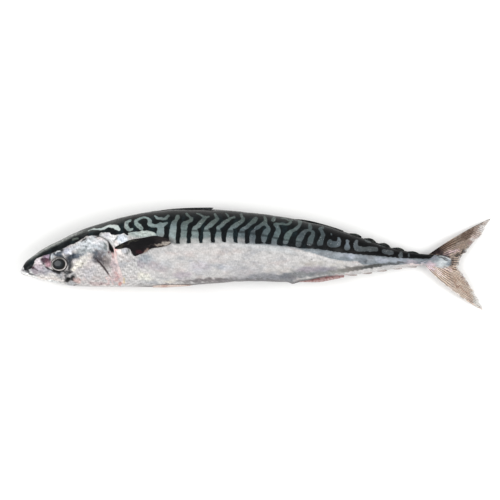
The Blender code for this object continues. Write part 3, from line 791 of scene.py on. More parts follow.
def skinMaterial():
    # Fresh mackerel skin under a film of water: tiny scales over silver, so it looks like damp pearl with a
    # soft shine.
    material, tree, shader = newMaterial("wetMackerelSkin")
    coords = addNode(tree, "ShaderNodeTexCoord").outputs["Object"]
    stretched = addNode(tree, "ShaderNodeMapping", {"Vector": coords, "Scale": (0.45, 1.0, 1.0)}).outputs[0]
    paint = readAttribute(tree, "skinColour", "Color")
    ink = readAttribute(tree, "inkColour", "Color")
    # scales are 0.5 mm on the fish; drawn 0.9 mm so that they show
    scales = addNode(tree, "ShaderNodeTexVoronoi", {"Vector": coords, "Scale": 1 / (0.9 * mm)})
    broad = addNoise(tree, stretched, 7, 4, 0.6)
    fine = addNoise(tree, coords, 1.5, 3, 0.6)
    glints = addNoise(tree, stretched, 0.7, 1)
    warm = fade(tree, addNoise(tree, stretched, 6, 3), 0.50, 0.70, 0, 0.30)
    colour = mixColour(tree, warm, paint, mixColour(tree, 1.0, paint, "#F6E0DC", "MULTIPLY"))
    cool = fade(tree, broad, 0.50, 0.70, 0, 0.45)
    colour = mixColour(tree, cool, colour, mixColour(tree, 1.0, colour, "#D2DAE6", "MULTIPLY"))
    colour = times(tree, colour, fade(tree, broad, 0.25, 0.75, 1.10, 0.90))
    colour = times(tree, colour, fade(tree, fine, 0.30, 0.70, 0.68, 0.87))
    # painted glints: pale flecks that stand in for light sparkling off the scales
    colour = mixColour(tree, fade(tree, glints, 0.68, 0.76, 0, 0.30), colour, "#E4E6E8")
    # lateral line, then the dark marks with a ragged edge
    lateral = fade(tree, readAttribute(tree, "lineGap"), 0.0, 0.75, 0.62, 0.0)
    colour = mixColour(tree, lateral, colour, ink)
    ragged = addMath(tree, "SUBTRACT", fine, 0.5)
    pushed = addMath(tree, "MULTIPLY_ADD", ragged, 1.1, readAttribute(tree, "barDepth"))
    dark = times(tree, ink, fade(tree, fine, 0.3, 0.7, 0.5, 1.45))
    scaleBump = addBump(tree, scales.outputs["Distance"], 0.25, 0.12)
    setInputs(tree, shader, {
        "Base Color": mixColour(tree, fade(tree, pushed, -0.42, 0.30), colour, dark),
        "Roughness": fade(tree, fine, 0.3, 0.7, 0.30, 0.44),
        "Metallic": 0.10,
        "IOR": 1.17,
        "Coat Weight": 0.08,
        "Coat Roughness": 0.18,
        "Normal": addBump(tree, fine, 0.45, 0.25, {"Normal": scaleBump}),
    })
    return material


def makeBody():
    v = bodyValues
    trunk = np.arange(v["headEnd"], v["end"], v["trunkSpacing"])
    stations = np.r_[np.arange(v["start"], v["headEnd"], v["headSpacing"]), trunk, v["end"]]
    count = v["around"]
    turns = math.pi + 2 * math.pi * np.arange(count) / count
    s, turn = np.meshgrid(stations, turns, indexing="ij")
    points = skinPlace(s, turn)
    lengthwise = np.gradient(points, axis=0)
    around = np.roll(points, -1, 1) - np.roll(points, 1, 1)
    normals = np.cross(around, lengthwise)
    normals /= np.linalg.norm(normals, axis=-1, keepdims=True) + 1e-9
    y, out = points[..., 1], np.sin(turn)
    side = np.sign(out)
    # the right flank carries the same kind of marks, drawn a little differently
    warp = np.stack([s, y], -1)
    other = (side < 0) * smoothStep(84, 100, s)
    ms = s + other * (1.8 * ripple(warp, 14, 31) + 2.5)
    my = y + other * 0.9 * ripple(warp, 12, 32)
    relief = bodyRelief(s, y, out, side)
    points = points + normals * relief[..., None]
    points[..., 2] = np.maximum(points[..., 2], readLine(v["bed"], s) * 0.98)
    rows = len(stations)
    flat = points.reshape(-1, 3)
    vertices = np.r_[flat, [points[0].mean(0) - (0.3, 0, 0)], [points[-1].mean(0) + (0.3, 0, 0)]]
    index = np.arange(rows * count).reshape(rows, count)
    following = np.roll(index, -1, 1)
    quads = np.stack([index[:-1], following[:-1], following[1:], index[1:]], -1).reshape(-1, 4)
    tip, tail = rows * count, rows * count + 1
    snoutCap = np.stack([np.full(count, tip), following[0], index[0]], -1)
    tailCap = np.stack([np.full(count, tail), index[-1], following[-1]], -1)
    # the seam runs along the belly: a face's last column goes on to 1 instead of back to 0
    length = np.r_[np.repeat(stations, count) / v["uvLength"], 0.0, 1.0]
    girth = np.r_[np.tile(np.arange(count) / count, rows), 0.5, 0.5]
    uvs = []
    for faces in (quads, snoutCap, tailCap):
        circled = girth[faces]
        circled = np.where((circled == 0) & (circled.max(1, keepdims=True) > 0.9), 1.0, circled)
        uvs.append(0.004 + 0.992 * np.stack([length[faces], circled], -1).reshape(-1, 2))
    paint = paintSkin(ms, my, out).reshape(-1, 3)
    ink = paintInk(s, y, out).reshape(-1, 3)
    depth, line = barDepth(ms, my).ravel(), strokeGap(ms, my, lateralLine).ravel()
    ends = [0, -1]
    attributes = {
        "skinColour": np.r_[paint, paint[ends]],
        "inkColour": np.r_[ink, ink[ends]],
        "barDepth": np.r_[depth, depth[ends]],
        "lineGap": np.r_[line, line[ends]],
    }
    faces = quads.tolist() + snoutCap.tolist() + tailCap.tolist()
    uvs = np.concatenate(uvs)
    return buildPiece("fishBody", "body", vertices, faces, uvs, attributes, skinMaterial())


makeBody()
print("body done")


# ---- eyes

eyeValues = {
    # half length and half height of the oval; the tables below are for a round eye with this rim
    "radii": (6.9, 5.7),
    "rim": 6.6,
    "dull": "#5A5856",
    # distance from the middle, height over the flank
    "profile": [
        (0, 0.85), (2.0, 0.78), (3.6, 0.55), (4.5, 0.28), (4.9, 0.22), (5.7, 0.05), (6.1, -0.25),
        (6.5, -0.9), (6.6, -1.6),
    ],
    # distance from the middle, colour
    "rings": [
        # the pupil's paler blue-grey middle is a painted soft reflection
        (0, "#182026"), (2.2, "#131A20"), (3.8, "#07090B"), (4.7, "#060708"), (5.0, "#1E1C1B"),
        (5.25, "#8F8A88"), (5.5, "#CFC9C6"), (5.75, "#B9B4B2"), (6.0, "#323236"), (6.2, "#202024"),
        (6.6, "#111112"),
    ],
}


def eyeMaterial():
    # A dead fish's eye, wet: a dark pupil under a clear film, which gives one soft clean highlight.
    material, tree, shader = newMaterial("wetFishEye")
    coords = addNode(tree, "ShaderNodeTexCoord").outputs["Object"]
    paint = readAttribute(tree, "eyeColour", "Color")
    cloud = addNoise(tree, coords, 2.2, 3)
    setInputs(tree, shader, {
        "Base Color": times(tree, paint, fade(tree, cloud, 0.3, 0.7, 0.78, 1.15)),
        "Roughness": 0.28,
        "IOR": 1.24,
        "Coat Weight": 0.2,
        "Coat Roughness": 0.06,
        "Normal": addBump(tree, cloud, 0.2, 0.2),
    })
    return material


def makeEye(name, side, material):
    v = eyeValues
    count, rings, rim = 72, 48, v["rim"]
    radius = np.linspace(0, rim, rings)[1:]
    turn = 2 * math.pi * np.arange(count) / count
    lift = readTable(v["profile"], radius)[0]
    # the flank's plane at the eye
    s, y = np.array([eyeAt[0]]), np.array([eyeAt[1]])
    base = flankPlace(s, y, side)[0]
    normal = flankPlace(s, y, side, 1.0)[0] - base
    alongX = np.array([normal[2], 0, -normal[0]]) * side
    alongX /= np.linalg.norm(alongX)
    alongY = np.cross(normal, alongX) * side
    wide, high = v["radii"]
    r, a = np.meshgrid(radius, turn, indexing="ij")
    edge = 1 + 0.012 * np.sin(2 * a + 0.6) + 0.008 * np.sin(5 * a)
    across, up = r * np.cos(a) * edge * wide / rim, r * np.sin(a) * edge * high / rim
    raised = np.repeat(lift, count).reshape(r.shape)[..., None] * normal
    points = base + across[..., None] * alongX + up[..., None] * alongY + raised
    back = base + (points[-1] - base) * 0.96 - 1.4 * normal
    front, behind = base + 0.86 * normal, base - 3.4 * normal
    vertices = np.r_[points.reshape(-1, 3), back, [front], [behind]]
    index = np.arange(len(vertices) - 2).reshape(-1, count)
    following = np.roll(index, -1, 1)
    quads = np.stack([index[:-1], index[1:], following[1:], following[:-1]], -1).reshape(-1, 4)
    frontCap = np.stack([np.full(count, len(vertices) - 2), index[0], following[0]], -1)
    backCap = np.stack([np.full(count, len(vertices) - 1), following[-1], index[-1]], -1)
    faces = quads.tolist() + frontCap.tolist() + backCap.tolist()
    if side < 0:
        faces = [face[::-1] for face in faces]
    disc = np.stack([across, up], -1)
    flat = 0.5 + np.r_[disc.reshape(-1, 2), disc[-1] * 1.12, [[0, 0]], [[0, 0]]] / 16
    uvs = np.concatenate([flat[corners] for corners in faces])
    away = np.r_[np.repeat(radius, count), np.full(count, rim), 0, rim]
    angle = np.r_[a.ravel(), turn, 0, 0]
    # the rings are a little uneven, and the pupil lies a little up and forward in them
    away = away + 0.10 * np.sin(angle * 3 + 1) * smoothStep(3.5, 5, away)
    away = away - 0.22 * np.cos(angle - 2.5) * stretch(away, 0.5, 3.5, 5.0, 6.2)
    paint = readColours(v["rings"], away)
    # the bright ring is darker above, and in spots all round
    dimming = 0.65 * smoothStep(0.35, 0.95, np.sin(angle)) + 0.3 * (0.5 - 0.5 * np.cos(angle * 7))
    blendInto(paint, np.clip(smoothStep(4.4, 5.0, away) * dimming, 0, 1), v["dull"])
    node = name.replace("Eye", "_eye")
    return buildPiece(name, node, vertices, faces, uvs, {"eyeColour": paint}, material)


wetEye = eyeMaterial()
makeEye("leftEye", 1, wetEye)
makeEye("rightEye", -1, wetEye)
print("eyes done")


# ---- fins

def makeSheet(name, node, middle, thickness, paint, ray, reach, material):
    # a thin closed piece from its middle surface, a grid of points
    arrays = [middle, thickness, paint, ray, reach]
    normal = np.cross(np.gradient(middle, axis=0), np.gradient(middle, axis=1))
    if normal[..., 2].mean() < 0:
        arrays = [array[:, ::-1] for array in arrays]
        normal = -normal[:, ::-1]
    middle, thickness, paint, ray, reach = arrays
    normal /= np.linalg.norm(normal, axis=-1, keepdims=True) + 1e-9
    rows, count = middle.shape[:2]
    half = normal * thickness[..., None] / 2
    vertices = np.r_[(middle + half).reshape(-1, 3), (middle - half).reshape(-1, 3)]
    index = np.arange(rows * count).reshape(rows, count)
    below = rows * count
    front = np.stack([index[:-1, :-1], index[1:, :-1], index[1:, 1:], index[:-1, 1:]], -1).reshape(-1, 4)
    rim = np.r_[index[:-1, 0], index[-1, :-1], index[:0:-1, -1], index[0, :0:-1]]
    ahead = np.roll(rim, -1)
    rimFaces = np.stack([rim + below, ahead + below, ahead, rim], -1)
    u, v = np.meshgrid(np.linspace(0.02, 0.98, rows), np.linspace(0.02, 0.48, count), indexing="ij")
    flat = np.r_[np.stack([u, v], -1).reshape(-1, 2), np.stack([u, v + 0.5], -1).reshape(-1, 2)]
    outer = flat[rim] + (flat[rim] - (0.5, 0.25)) * 0.02
    aheadOuter = np.roll(outer, -1, 0)
    rimUvs = np.stack([outer, aheadOuter, flat[ahead], flat[rim]], 1).reshape(-1, 2)
    uvs = np.r_[flat[front].reshape(-1, 2), flat[front[:, ::-1] + below].reshape(-1, 2), rimUvs]
    faces = front.tolist() + (front[:, ::-1] + below).tolist() + rimFaces.tolist()

    def bothFaces(values):
        return np.r_[values.reshape(below, -1), values.reshape(below, -1)].squeeze()

    attributes = {"finColour": bothFaces(paint), "ray": bothFaces(ray), "reach": bothFaces(reach)}
    return buildPiece(name, node, vertices, faces, uvs, attributes, material)


def finMaterial(name, darkLine, paleRay, lineStrength, thinEdge):
    # Wet fin membrane over bony rays: fine streaks from root to edge, thinner and glassier at the edge.
    material, tree, shader = newMaterial(name)
    coords = addNode(tree, "ShaderNodeTexCoord").outputs["Object"]
    paint = readAttribute(tree, "finColour", "Color")
    reach = readAttribute(tree, "reach")
    cloud, fine = addNoise(tree, coords, 3.0, 3), addNoise(tree, coords, 0.9)
    # a ray is two units of the attribute wide, wanders a little, and splits in two past the fin's middle
    wander = addMath(tree, "MULTIPLY_ADD", cloud, 1.6, readAttribute(tree, "ray"))
    whole = addMath(tree, "PINGPONG", wander, 1.0)
    halved = addMath(tree, "MULTIPLY", addMath(tree, "PINGPONG", wander, 0.5), 2.0)
    split = fade(tree, reach, 0.40, 0.62)
    lines = addNode(tree, "ShaderNodeMix", {0: split, 2: whole, 3: halved}).outputs[0]
    between = fade(tree, lines, 0.0, 0.38, lineStrength, 0.0)
    top = fade(tree, lines, 0.62, 1.0, 0.0, lineStrength * 0.8)
    colour = mixColour(tree, between, paint, mixColour(tree, 1.0, paint, darkLine, "MULTIPLY"))
    colour = mixColour(tree, top, colour, mixColour(tree, 1.0, colour, paleRay, "DODGE"))
    surface = {
        "Base Color": times(tree, colour, fade(tree, fine, 0.3, 0.7, 0.74, 1.04)),
        "Roughness": fade(tree, cloud, 0.3, 0.7, 0.34, 0.52),
        "IOR": 1.20,
        "Coat Weight": 0.08,
        "Coat Roughness": 0.2,
        "Normal": addBump(tree, lines, 0.5, 0.25),
    }
    if thinEdge:
        frayed = addMath(tree, "MULTIPLY_ADD", cloud, 0.5, reach)
        surface["Alpha"] = fade(tree, frayed, 0.98, 1.32, 1.0, 1.0 - thinEdge)
    setInputs(tree, shader, surface)
    return material


def curve(points, share):
    # places along a smooth line through the points, from 0 to 1
    points = np.array(points, float)
    steps = np.hypot(*np.diff(points, axis=0).T)
    keys = np.r_[0, np.cumsum(steps)] / steps.sum()
    return np.stack(readTable(np.c_[keys, points], share), -1)


tailValues = {
    "root": [(312.5, 2.4), (318, 1.6), (322, -2.5), (317, -5.5), (310.5, -6.0)],
    "edge": [
        (361, 30.6), (360.0, 28.6), (357.8, 25.2), (356.0, 21), (353.8, 17.5), (350, 14), (346.5, 10.5),
        (344, 7.6), (342.2, 4.6), (339.4, 2.6), (337.8, 0.0), (336.6, -4), (335.8, -8.3), (338, -10.8),
        (341, -15), (344.2, -20), (347, -24.2), (350, -29.2), (352.8, -34.4), (355, -39.4), (354.2, -39.9),
    ],
    "bow": [(0, 1.3), (0.3, 0.2), (0.6, 0.0), (1, -2.3)],
    "heights": [(305, 8.7), (318, 7.9), (325.8, 7.2), (332, 6.3), (345, 4.1), (360, 1.7)],
    "halfRays": 40,
    "colour": "#9B8E86",
    "dabs": [
        (335, 14, 26, 16, 25, "#897D74", 1.0), (334, -18, 26, 17, -38, "#B7A79C", 1.0),
        (320, 6.6, 9.0, 3.8, 38, "#150C0E", 1.0), (327, 9.4, 6, 3.0, 35, "#5A4A41", 0.85),
        (322, 4.0, 4.0, 1.6, 5, "#2B1C1E", 0.8),
        (324.6, 2.0, 5.2, 1.7, -10, "#2B2628", 0.95), (323.8, 1.5, 2.5, 0.85, -8, "#C2C8CC", 1.0),
        (341, 16.5, 7, 2.6, 32, "#54443A", 0.9), (333, 12.5, 6, 2.2, 28, "#6A5B4E", 0.8),
        (346, 21, 6, 1.8, 30, "#5A4A41", 0.8),
        (336, 8.5, 6, 1.6, 18, "#8E7F74", 0.8), (331.5, 5.2, 5.5, 1.5, 5, "#B3A0A2", 0.9),
        (327, 3.2, 3.5, 1.6, 10, "#75676A", 0.8),
        (340.6, 5.4, 2.8, 1.1, 22, "#2B211D", 1.0), (345.5, 10.5, 2.4, 1.6, 40, "#8B7471", 0.8),
        (349.5, 15.5, 2.6, 3.0, 45, "#B7A8A5", 0.85),
        (355.0, 22.5, 3.4, 5.0, 55, "#DDD6D4", 1.0), (351.2, 20, 2.6, 3.2, 45, "#BFB1AD", 0.8),
        (353.6, 26.6, 5.0, 1.1, 30, "#7A716B", 0.9),
        (357.5, 29.0, 3, 0.8, 30, "#8A8380", 0.9), (347, 13.6, 1.4, 2.6, 50, "#D9CBCA", 0.8),
        (334.6, -2.5, 4.2, 4.6, 0, "#8C8179", 1.0), (335.4, 2.2, 3.4, 0.9, 0, "#47423D", 0.9),
        (331, -3.4, 1.3, 4.4, -8, "#4E4642", 0.85),
        (337.6, 1.6, 0.8, 2.6, 20, "#35302C", 0.9), (336.2, -6.4, 1.6, 1.0, 0, "#C9BDB5", 0.8),
        (333.5, -8.6, 5.0, 0.8, -3, "#6F5B4C", 0.9), (339.4, -13.4, 4.6, 1.5, -55, "#7D6D69", 0.9),
        (343.0, -18.8, 3.6, 1.2, -57, "#8A7D78", 0.8), (326, -8.6, 5, 1.2, -8, "#D9BFBE", 0.8),
        (314.6, -7.6, 4.2, 2.2, -32, "#E3CBD1", 1.0), (313.6, -8.6, 2.2, 0.7, -20, "#FFEDF0", 0.9),
        (317.5, -9.6, 5, 0.5, -8, "#5D4441", 0.9),
        (321, -11.4, 5, 2.0, -38, "#E3CBC4", 0.9), (334, -20, 7, 1.1, -45, "#7E6658", 0.7),
        (331, -15, 6, 1.0, -45, "#857364", 0.8), (329, -13.8, 8, 3.0, -45, "#A39285", 0.7),
        (337, -16.6, 6, 0.8, -45, "#8E7C6D", 0.6), (340.5, -25.4, 5, 1.0, -47, "#9C8678", 0.7),
        (345, -28, 4, 1.6, -52, "#AE9E92", 0.7),
        (350.5, -34.0, 5, 3.4, -60, "#BDB7B3", 1.0), (349, -28.6, 4, 1.8, -58, "#DDD6D0", 0.9),
        (346, -33.6, 5, 1.0, -42, "#A79C95", 0.8),
        (334, -27.6, 16, 1.1, -39, "#EADFD9", 0.9),
    ],
}


def makeTail():
    v = tailValues
    rows, count = 110, 260
    u, w = np.meshgrid(np.linspace(0, 1, rows), np.linspace(0, 1, count), indexing="ij")
    root, edge = curve(v["root"], w), curve(v["edge"], w)
    chord = edge - root
    length = np.linalg.norm(chord, axis=-1, keepdims=True)
    side = np.stack([-chord[..., 1], chord[..., 0]], -1) / length
    bow = readTable(v["bow"], w)[0]
    # the rear edge is ragged, the two leading rays are not
    ragged = 1 - 0.018 * (0.5 + 0.5 * ripple(w[..., None] * 100, 3, 41))
    ragged = ragged - 0.012 * np.abs(np.sin(w * math.pi * 21))
    reach = u * np.where((w < 0.02) | (w > 0.985), 1, ragged)
    middle = root + chord * reach[..., None]
    middle = middle + side * (bow * 4 * u * (1 - u))[..., None]
    s, y = middle[..., 0], middle[..., 1]
    z = readTable(v["heights"], s)[0]
    z = z + 0.35 * ripple(np.stack([s, y], -1), 14, 42) * smoothStep(322, 340, s)
    ray = w * v["halfRays"]
    ridge = 0.16 * np.cos(2 * math.pi * ray / 2) * smoothStep(0.1, 0.3, u)
    fromEdge = np.minimum(w, 1 - w)
    thickness = 2.0 - 1.5 * smoothStep(0, 0.8, u)
    thickness = thickness * (0.55 + 0.45 * smoothStep(0, 0.03, fromEdge)) + ridge
    # the first rays of each lobe are stout
    stout = np.exp(-(w / 0.035) ** 2) + np.exp(-((1 - w) / 0.035) ** 2)
    thickness += 0.5 * stout * (1 - 0.6 * u) * smoothStep(0, 0.02, fromEdge)
    thickness = np.maximum(thickness, 0.25)
    paint = plainPaint(s, v["colour"])
    addDabs(paint, s, y, v["dabs"], 43)
    material = finMaterial("wetTailFin", "#382B22", "#C9BFB3", 1.0, 0.8)
    middle = np.stack([s, y, z], -1)
    return makeSheet("tailFin", "tail_fin", middle, thickness, paint, ray, u, material)


# Fins in the fish's middle plane, on the back (side 1) or the belly (side -1). Crest and foot are heights
# over the skin along the fin, from 0 to 1. The colours are the root's, the edge's and the patches'. A span is
# the start and the end along the fish, or for the first finlet of a row its start and length.
ridgeFinValues = {
    "firstDorsalFin": {
        "span": (104.5, 147.8), "side": 1, "halfRays": 12, "colours": ("#303132", "#1B1D1E", "#4A4C4C"),
        "crest": [(0, 0.15), (0.3, 0.75), (0.6, 1.15), (0.85, 1.45), (0.97, 1.6), (1, 1.5)],
        "foot": [(0, -0.8), (0.8, -0.8), (0.93, -0.4), (1, 1.1)],
    },
    "secondDorsalFin": {
        "span": (210.6, 247.4), "side": 1, "halfRays": 14, "colours": ("#1D1F1F", "#0E1010", "#3B3E3A"),
        "crest": [(0, 0.1), (0.15, 0.7), (0.35, 1.0), (0.6, 0.8), (0.85, 0.6), (1, 0.4)],
        "foot": [(0, -0.9), (0.85, -0.9), (1, 0.0)],
    },
    "analFin": {
        "span": (213.1, 248.0), "side": -1, "halfRays": 13, "colours": ("#8C6463", "#C4AEAB", "#A58B89"),
        "crest": [(0, 0.1), (0.25, 1.5), (0.5, 2.9), (0.8, 2.6), (1, 1.7)],
        "foot": [(0, -0.9), (0.85, -0.9), (1, 0.3)],
    },
    # finlets stand in a row, step apart; each one's lift stretches the middle of its crest
    "dorsalFinlet": {
        "span": (252.2, 9.3), "step": 10.91, "lifts": (0.9, 1.15, 1.2, 1.0, 0.7),
        "side": 1, "halfRays": 6, "colours": ("#1D1F1F", "#0E1010", "#3B3E3A"),
        "crest": [(0, 0.15), (0.2, 0.8), (0.45, 1.6), (0.7, 1.75), (0.9, 1.2), (1, 0.6)],
        "foot": [(0, -1.2), (0.7, -1.2), (0.9, -0.6), (1, 0.3)],
    },
    "analFinlet": {
        "span": (250, 8.1), "step": 11.48, "lifts": (1, 1, 1, 1, 1),
        "side": -1, "halfRays": 6, "colours": ("#CFC5C1", "#B4AAA6", "#8F8884"),
        "crest": [(0, 0.1), (0.25, 0.6), (0.5, 1.0), (0.75, 1.15), (1, 1.0)],
        "foot": [(0, -1.0), (0.6, -1.0), (0.8, -0.3), (1, 0.5)],
    },
}


def makeRidgeFin(name, node, fin, material):
    start, end = fin["span"]
    side, halfRays = fin["side"], fin["halfRays"]
    rows, count = 26, max(40, int((end - start) * 3.2))
    u, w = np.meshgrid(np.linspace(0, 1, rows), np.linspace(0, 1, count), indexing="ij")

    def edge(table):
        along = start + (end - start) * w
        back, belly, _, _ = readTable(bodyValues["sections"], along)
        skin = back if side > 0 else belly
        return np.stack([along, skin + side * readTable(table, w)[0]], -1)

    crest, foot = edge(fin["crest"]), edge(fin["foot"])
    middle = foot + (crest - foot) * u[..., None]
    s, y = middle[..., 0], middle[..., 1]
    places = np.stack([s, y], -1)
    z = readTable(bodyValues["sections"], s)[3] + 0.25 * ripple(places, 9, 51 + halfRays)
    ray = s * halfRays / (end - start)
    thickness = 1.1 - 0.75 * u + 0.12 * np.cos(math.pi * ray)
    thickness *= 0.4 + 0.6 * smoothStep(0, 0.06, np.minimum(w, 1 - w))
    rootColour, edgeColour, patchColour = fin["colours"]
    paint = plainPaint(s, rootColour)
    blendInto(paint, smoothStep(0.3, 0.95, u), edgeColour)
    blendInto(paint, 0.6 * smoothStep(0.0, 1.2, ripple(places, 3.5, 52 + halfRays)), patchColour)
    return makeSheet(name, node, np.stack([s, y, z], -1), thickness, paint, ray, u, material)


def makeRidgeFins():
    v = ridgeFinValues
    darkFin = finMaterial("wetDarkFin", "#6E7072", "#9A9C9E", 0.8, 0.0)
    redFin = finMaterial("wetRedFin", "#C79A98", "#4A4443", 0.7, 0.35)
    paleFin = finMaterial("wetPaleFin", "#A09893", "#7C7875", 0.7, 0.35)
    makeRidgeFin("firstDorsalFin", "first_dorsal_fin", v["firstDorsalFin"], darkFin)
    makeRidgeFin("secondDorsalFin", "second_dorsal_fin", v["secondDorsalFin"], darkFin)
    makeRidgeFin("analFin", "anal_fin", v["analFin"], redFin)

    def finlet(values, i):
        start, length = values["span"]
        start += i * values["step"]
        lift = values["lifts"][i]
        first, *inner, last = values["crest"]
        crest = [first, *((along, height * lift) for along, height in inner), last]
        return {**values, "span": (start, start + length), "crest": crest}

    for i in range(5):
        dorsal, anal = finlet(v["dorsalFinlet"], i), finlet(v["analFinlet"], i)
        makeRidgeFin(f"dorsalFinlet{i + 1}", f"dorsal_finlet_{i + 1}", dorsal, darkFin)
        makeRidgeFin(f"analFinlet{i + 1}", f"anal_finlet_{i + 1}", anal, paleFin)


pectoralValues = {
    "colour": "#2A2428",
    "top": [
        (72.9, 8.1), (76, 9.9), (79.8, 11.7), (84.8, 13.6), (89.5, 14.5), (95.8, 15.4), (101, 16.5),
        (104.5, 16.6), (109, 15.8), (113.3, 14.4), (115.6, 12.4),
    ],
    "low": [
        (72.9, 6.9), (77, 6.9), (81.5, 7.7), (84.6, 6.6), (86.2, 3.6), (88.2, 1.5), (91.5, 2.6), (96, 4.2),
        (101, 7.2), (106.5, 8.0), (111.5, 9.0), (115.6, 10.6),
    ],
    "dabs": [
        (90, 9, 30, 12, 0, "#0D0A0D", 1.0), (94, 12, 14, 3.5, 6, "#08070A", 0.9),
        (92, 4.4, 3.4, 1.8, 20, "#35171D", 0.8),
        (97.5, 4.9, 3.6, 1.5, 20, "#8A7870", 0.95), (99.8, 6.6, 1.6, 0.9, 20, "#4B3C36", 0.8),
        (95.6, 4.2, 1.3, 0.7, 0, "#B9A9A2", 0.8),
        (109, 13.6, 5, 3.6, 0, "#221D1D", 0.95), (112.6, 11.2, 4.2, 1.6, 8, "#A79F97", 0.95),
        (106.8, 10.0, 3.6, 1.0, 0, "#8F867E", 0.9),
        (110.5, 8.9, 6.0, 0.6, 10, "#4A403A", 0.9),
        (104, 9.0, 5.0, 0.7, -4, "#332B2A", 0.9), (77.5, 8.6, 4, 1.2, 20, "#3B382F", 0.8),
        (86, 12.6, 5, 0.8, 15, "#3F3E37", 0.7),
    ],
}


def makePectoral(name, node, side, material):
    v = pectoralValues
    rows, count = 130, 60
    t, w = np.meshgrid(np.linspace(0, 1, rows), np.linspace(0, 1, count), indexing="ij")
    top, low = curve(v["top"], t), curve(v["low"], t)
    middle = top + (low - top) * w[..., None]
    s, y = middle[..., 0], middle[..., 1]
    # a unit is 2 degrees round the fin's root, so that a ray is 4
    ray = np.degrees(np.arctan2(y - 7.4, s - 68)) / 2.0
    edgeNear = np.minimum(np.minimum(w, 1 - w) * 6, 1) * smoothStep(0, 0.05, 1 - t)
    lift = 0.25 + 0.7 * smoothStep(0.05, 0.6, t) + 0.35 * smoothStep(0.35, 0.9, w) * smoothStep(0.25, 0.5, t)
    lift = lift + 0.15 * ripple(np.stack([s, y], -1), 7, 61)
    thickness = (1.2 - 0.75 * t) * (0.35 + 0.65 * edgeNear) + 0.14 * np.cos(math.pi * ray) * edgeNear
    if side > 0:
        middle = flankPlace(s, y, 1, lift)
    else:
        # folded flat between the fish and the surface under it
        middle = np.stack([s, y, 0.5 + 0.06 * ripple(np.stack([s, y], -1), 7, 62)], -1)
        thickness = thickness * 0.5
    paint = plainPaint(s, v["colour"])
    addDabs(paint, s, y, v["dabs"], 63)
    reach = np.clip(t * 0.8 + 0.25 * np.abs(w - 0.4), 0, 1)
    return makeSheet(name, node, middle, np.maximum(thickness, 0.2), paint, ray, reach, material)


pelvicValues = {
    "start": 101.5,
    "length": 30,
    # share of the length, then degrees round the body, where 180 is the belly's middle
    "low": [(0, 163), (0.2, 158), (0.6, 160), (1, 168)],
    "high": [(0, 171), (0.2, 172), (0.6, 172), (1, 173)],
    "halfRays": 8,
    "colours": ("#DCCBC2", "#9F9791", "#B9968C"),
}


def makePelvic(name, node, side, material):
    v = pelvicValues
    rows, count = 70, 30
    t, w = np.meshgrid(np.linspace(0, 1, rows), np.linspace(0, 1, count), indexing="ij")
    low, high = readLine(v["low"], t), readLine(v["high"], t)
    turn = np.radians(low + (high - low) * w) * side
    s = v["start"] + v["length"] * t
    step = 0.01
    around = skinPlace(s, turn + step) - skinPlace(s, turn - step)
    lengthwise = skinPlace(s + 0.3, turn) - skinPlace(s - 0.3, turn)
    normal = np.cross(around, lengthwise)
    normal /= np.linalg.norm(normal, axis=-1, keepdims=True)
    lift = 0.25 + 0.25 * smoothStep(0, 0.4, t)
    middle = skinPlace(s, turn) + normal * lift[..., None]
    edgeNear = np.minimum(np.minimum(w, 1 - w) * 5, 1) * smoothStep(0, 0.08, 1 - t)
    ray = (w - 0.5) * v["halfRays"]
    thickness = 0.75 * (0.35 + 0.65 * edgeNear) + 0.1 * np.cos(math.pi * ray) * edgeNear
    rootColour, tipColour, patchColour = v["colours"]
    paint = plainPaint(s, rootColour)
    blendInto(paint, 0.7 * smoothStep(0.2, 1.2, ripple(np.stack([s, w * 8], -1), 5, 71)), patchColour)
    blendInto(paint, 0.6 * smoothStep(0.75, 1.0, t), tipColour)
    return makeSheet(name, node, middle, thickness, paint, ray, t, material)


makeTail()
makeRidgeFins()
pectoralMaterial = finMaterial("wetBlackFin", "#6A6668", "#8A8688", 0.5, 0.0)
makePectoral("leftPectoralFin", "left_pectoral_fin", 1, pectoralMaterial)
makePectoral("rightPectoralFin", "right_pectoral_fin", -1, pectoralMaterial)
pelvicMaterial = finMaterial("wetBellyFin", "#A89890", "#8A827E", 0.6, 0.0)
makePelvic("leftPelvicFin", "left_pelvic_fin", 1, pelvicMaterial)
makePelvic("rightPelvicFin", "right_pelvic_fin", -1, pelvicMaterial)
print("fins done")


# ---- stage

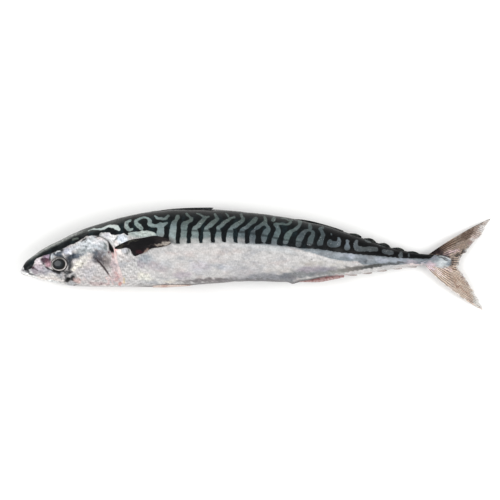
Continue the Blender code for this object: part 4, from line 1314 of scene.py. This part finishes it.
# Metres and watts, but for viewWidth and aim: those are the fish's millimetres, aim from the frame's origin.
stageValues = {
    "floorColour": "#FBFBFA",
    "floorHalf": 6.0,
    "cameraDistance": 3.2,
    "aimHeight": 0.010,
    "viewWidth": 383.8,
    "aim": (-4.2, 6.1),
    "lightSize": 0.9,
    "lightPower": 12,
    "lightAim": (0, 0, 0.01),
    "keyLight": (-1.3, 0.1, 1.25),
    "fillLight": (1.3, -0.1, 1.25),
    "worldStrength": 0.84,
}


def makeStage():
    v = stageValues
    mesh = bpy.data.meshes.new("floor")
    half = v["floorHalf"]
    corners = [(-half, -half, floorZ), (half, -half, floorZ), (half, half, floorZ), (-half, half, floorZ)]
    mesh.from_pydata(corners, [], [(0, 1, 2, 3)])
    floor = bpy.data.objects.new("floor", mesh)
    bpy.context.scene.collection.objects.link(floor)
    # Matt white studio paper, which shows only a soft shadow.
    material, tree, shader = newMaterial("paleBackdropPaper")
    setInputs(tree, shader, {"Base Color": v["floorColour"], "Roughness": 0.9, "Specular IOR Level": 0.1})
    mesh.materials.append(material)


def addLight(name):
    v = stageValues
    light = bpy.data.lights.new(name, "AREA")
    light.shape = "DISK"
    light.size = v["lightSize"]
    light.energy = v["lightPower"]
    lamp = bpy.data.objects.new(name, light)
    lamp.location = v[name]
    direction = Vector(np.array(v["lightAim"]) - np.array(v[name]))
    lamp.rotation_euler = direction.to_track_quat("-Z", "Y").to_euler()
    lamp.visible_camera = False
    bpy.context.scene.collection.objects.link(lamp)


def makeCamera():
    v = stageValues
    camera = bpy.data.cameras.new("camera")
    camera.lens = camera.sensor_width * v["cameraDistance"] / (v["viewWidth"] * mm)
    viewer = bpy.data.objects.new("camera", camera)
    aimX, aimY = v["aim"]
    viewer.location = (aimX * mm, aimY * mm, floorZ + v["aimHeight"] + v["cameraDistance"])
    bpy.context.scene.collection.objects.link(viewer)
    bpy.context.scene.camera = viewer


def makeWorld():
    world = bpy.data.worlds.new("studio")
    bpy.context.scene.world = world
    world.use_nodes = True
    background = world.node_tree.nodes["Background"]
    background.inputs["Color"].default_value = (1, 1, 1, 1)
    background.inputs["Strength"].default_value = stageValues["worldStrength"]
    bpy.context.scene.view_settings.view_transform = "Standard"


makeStage()
addLight("keyLight")
addLight("fillLight")
makeCamera()
makeWorld()
print("stage done")
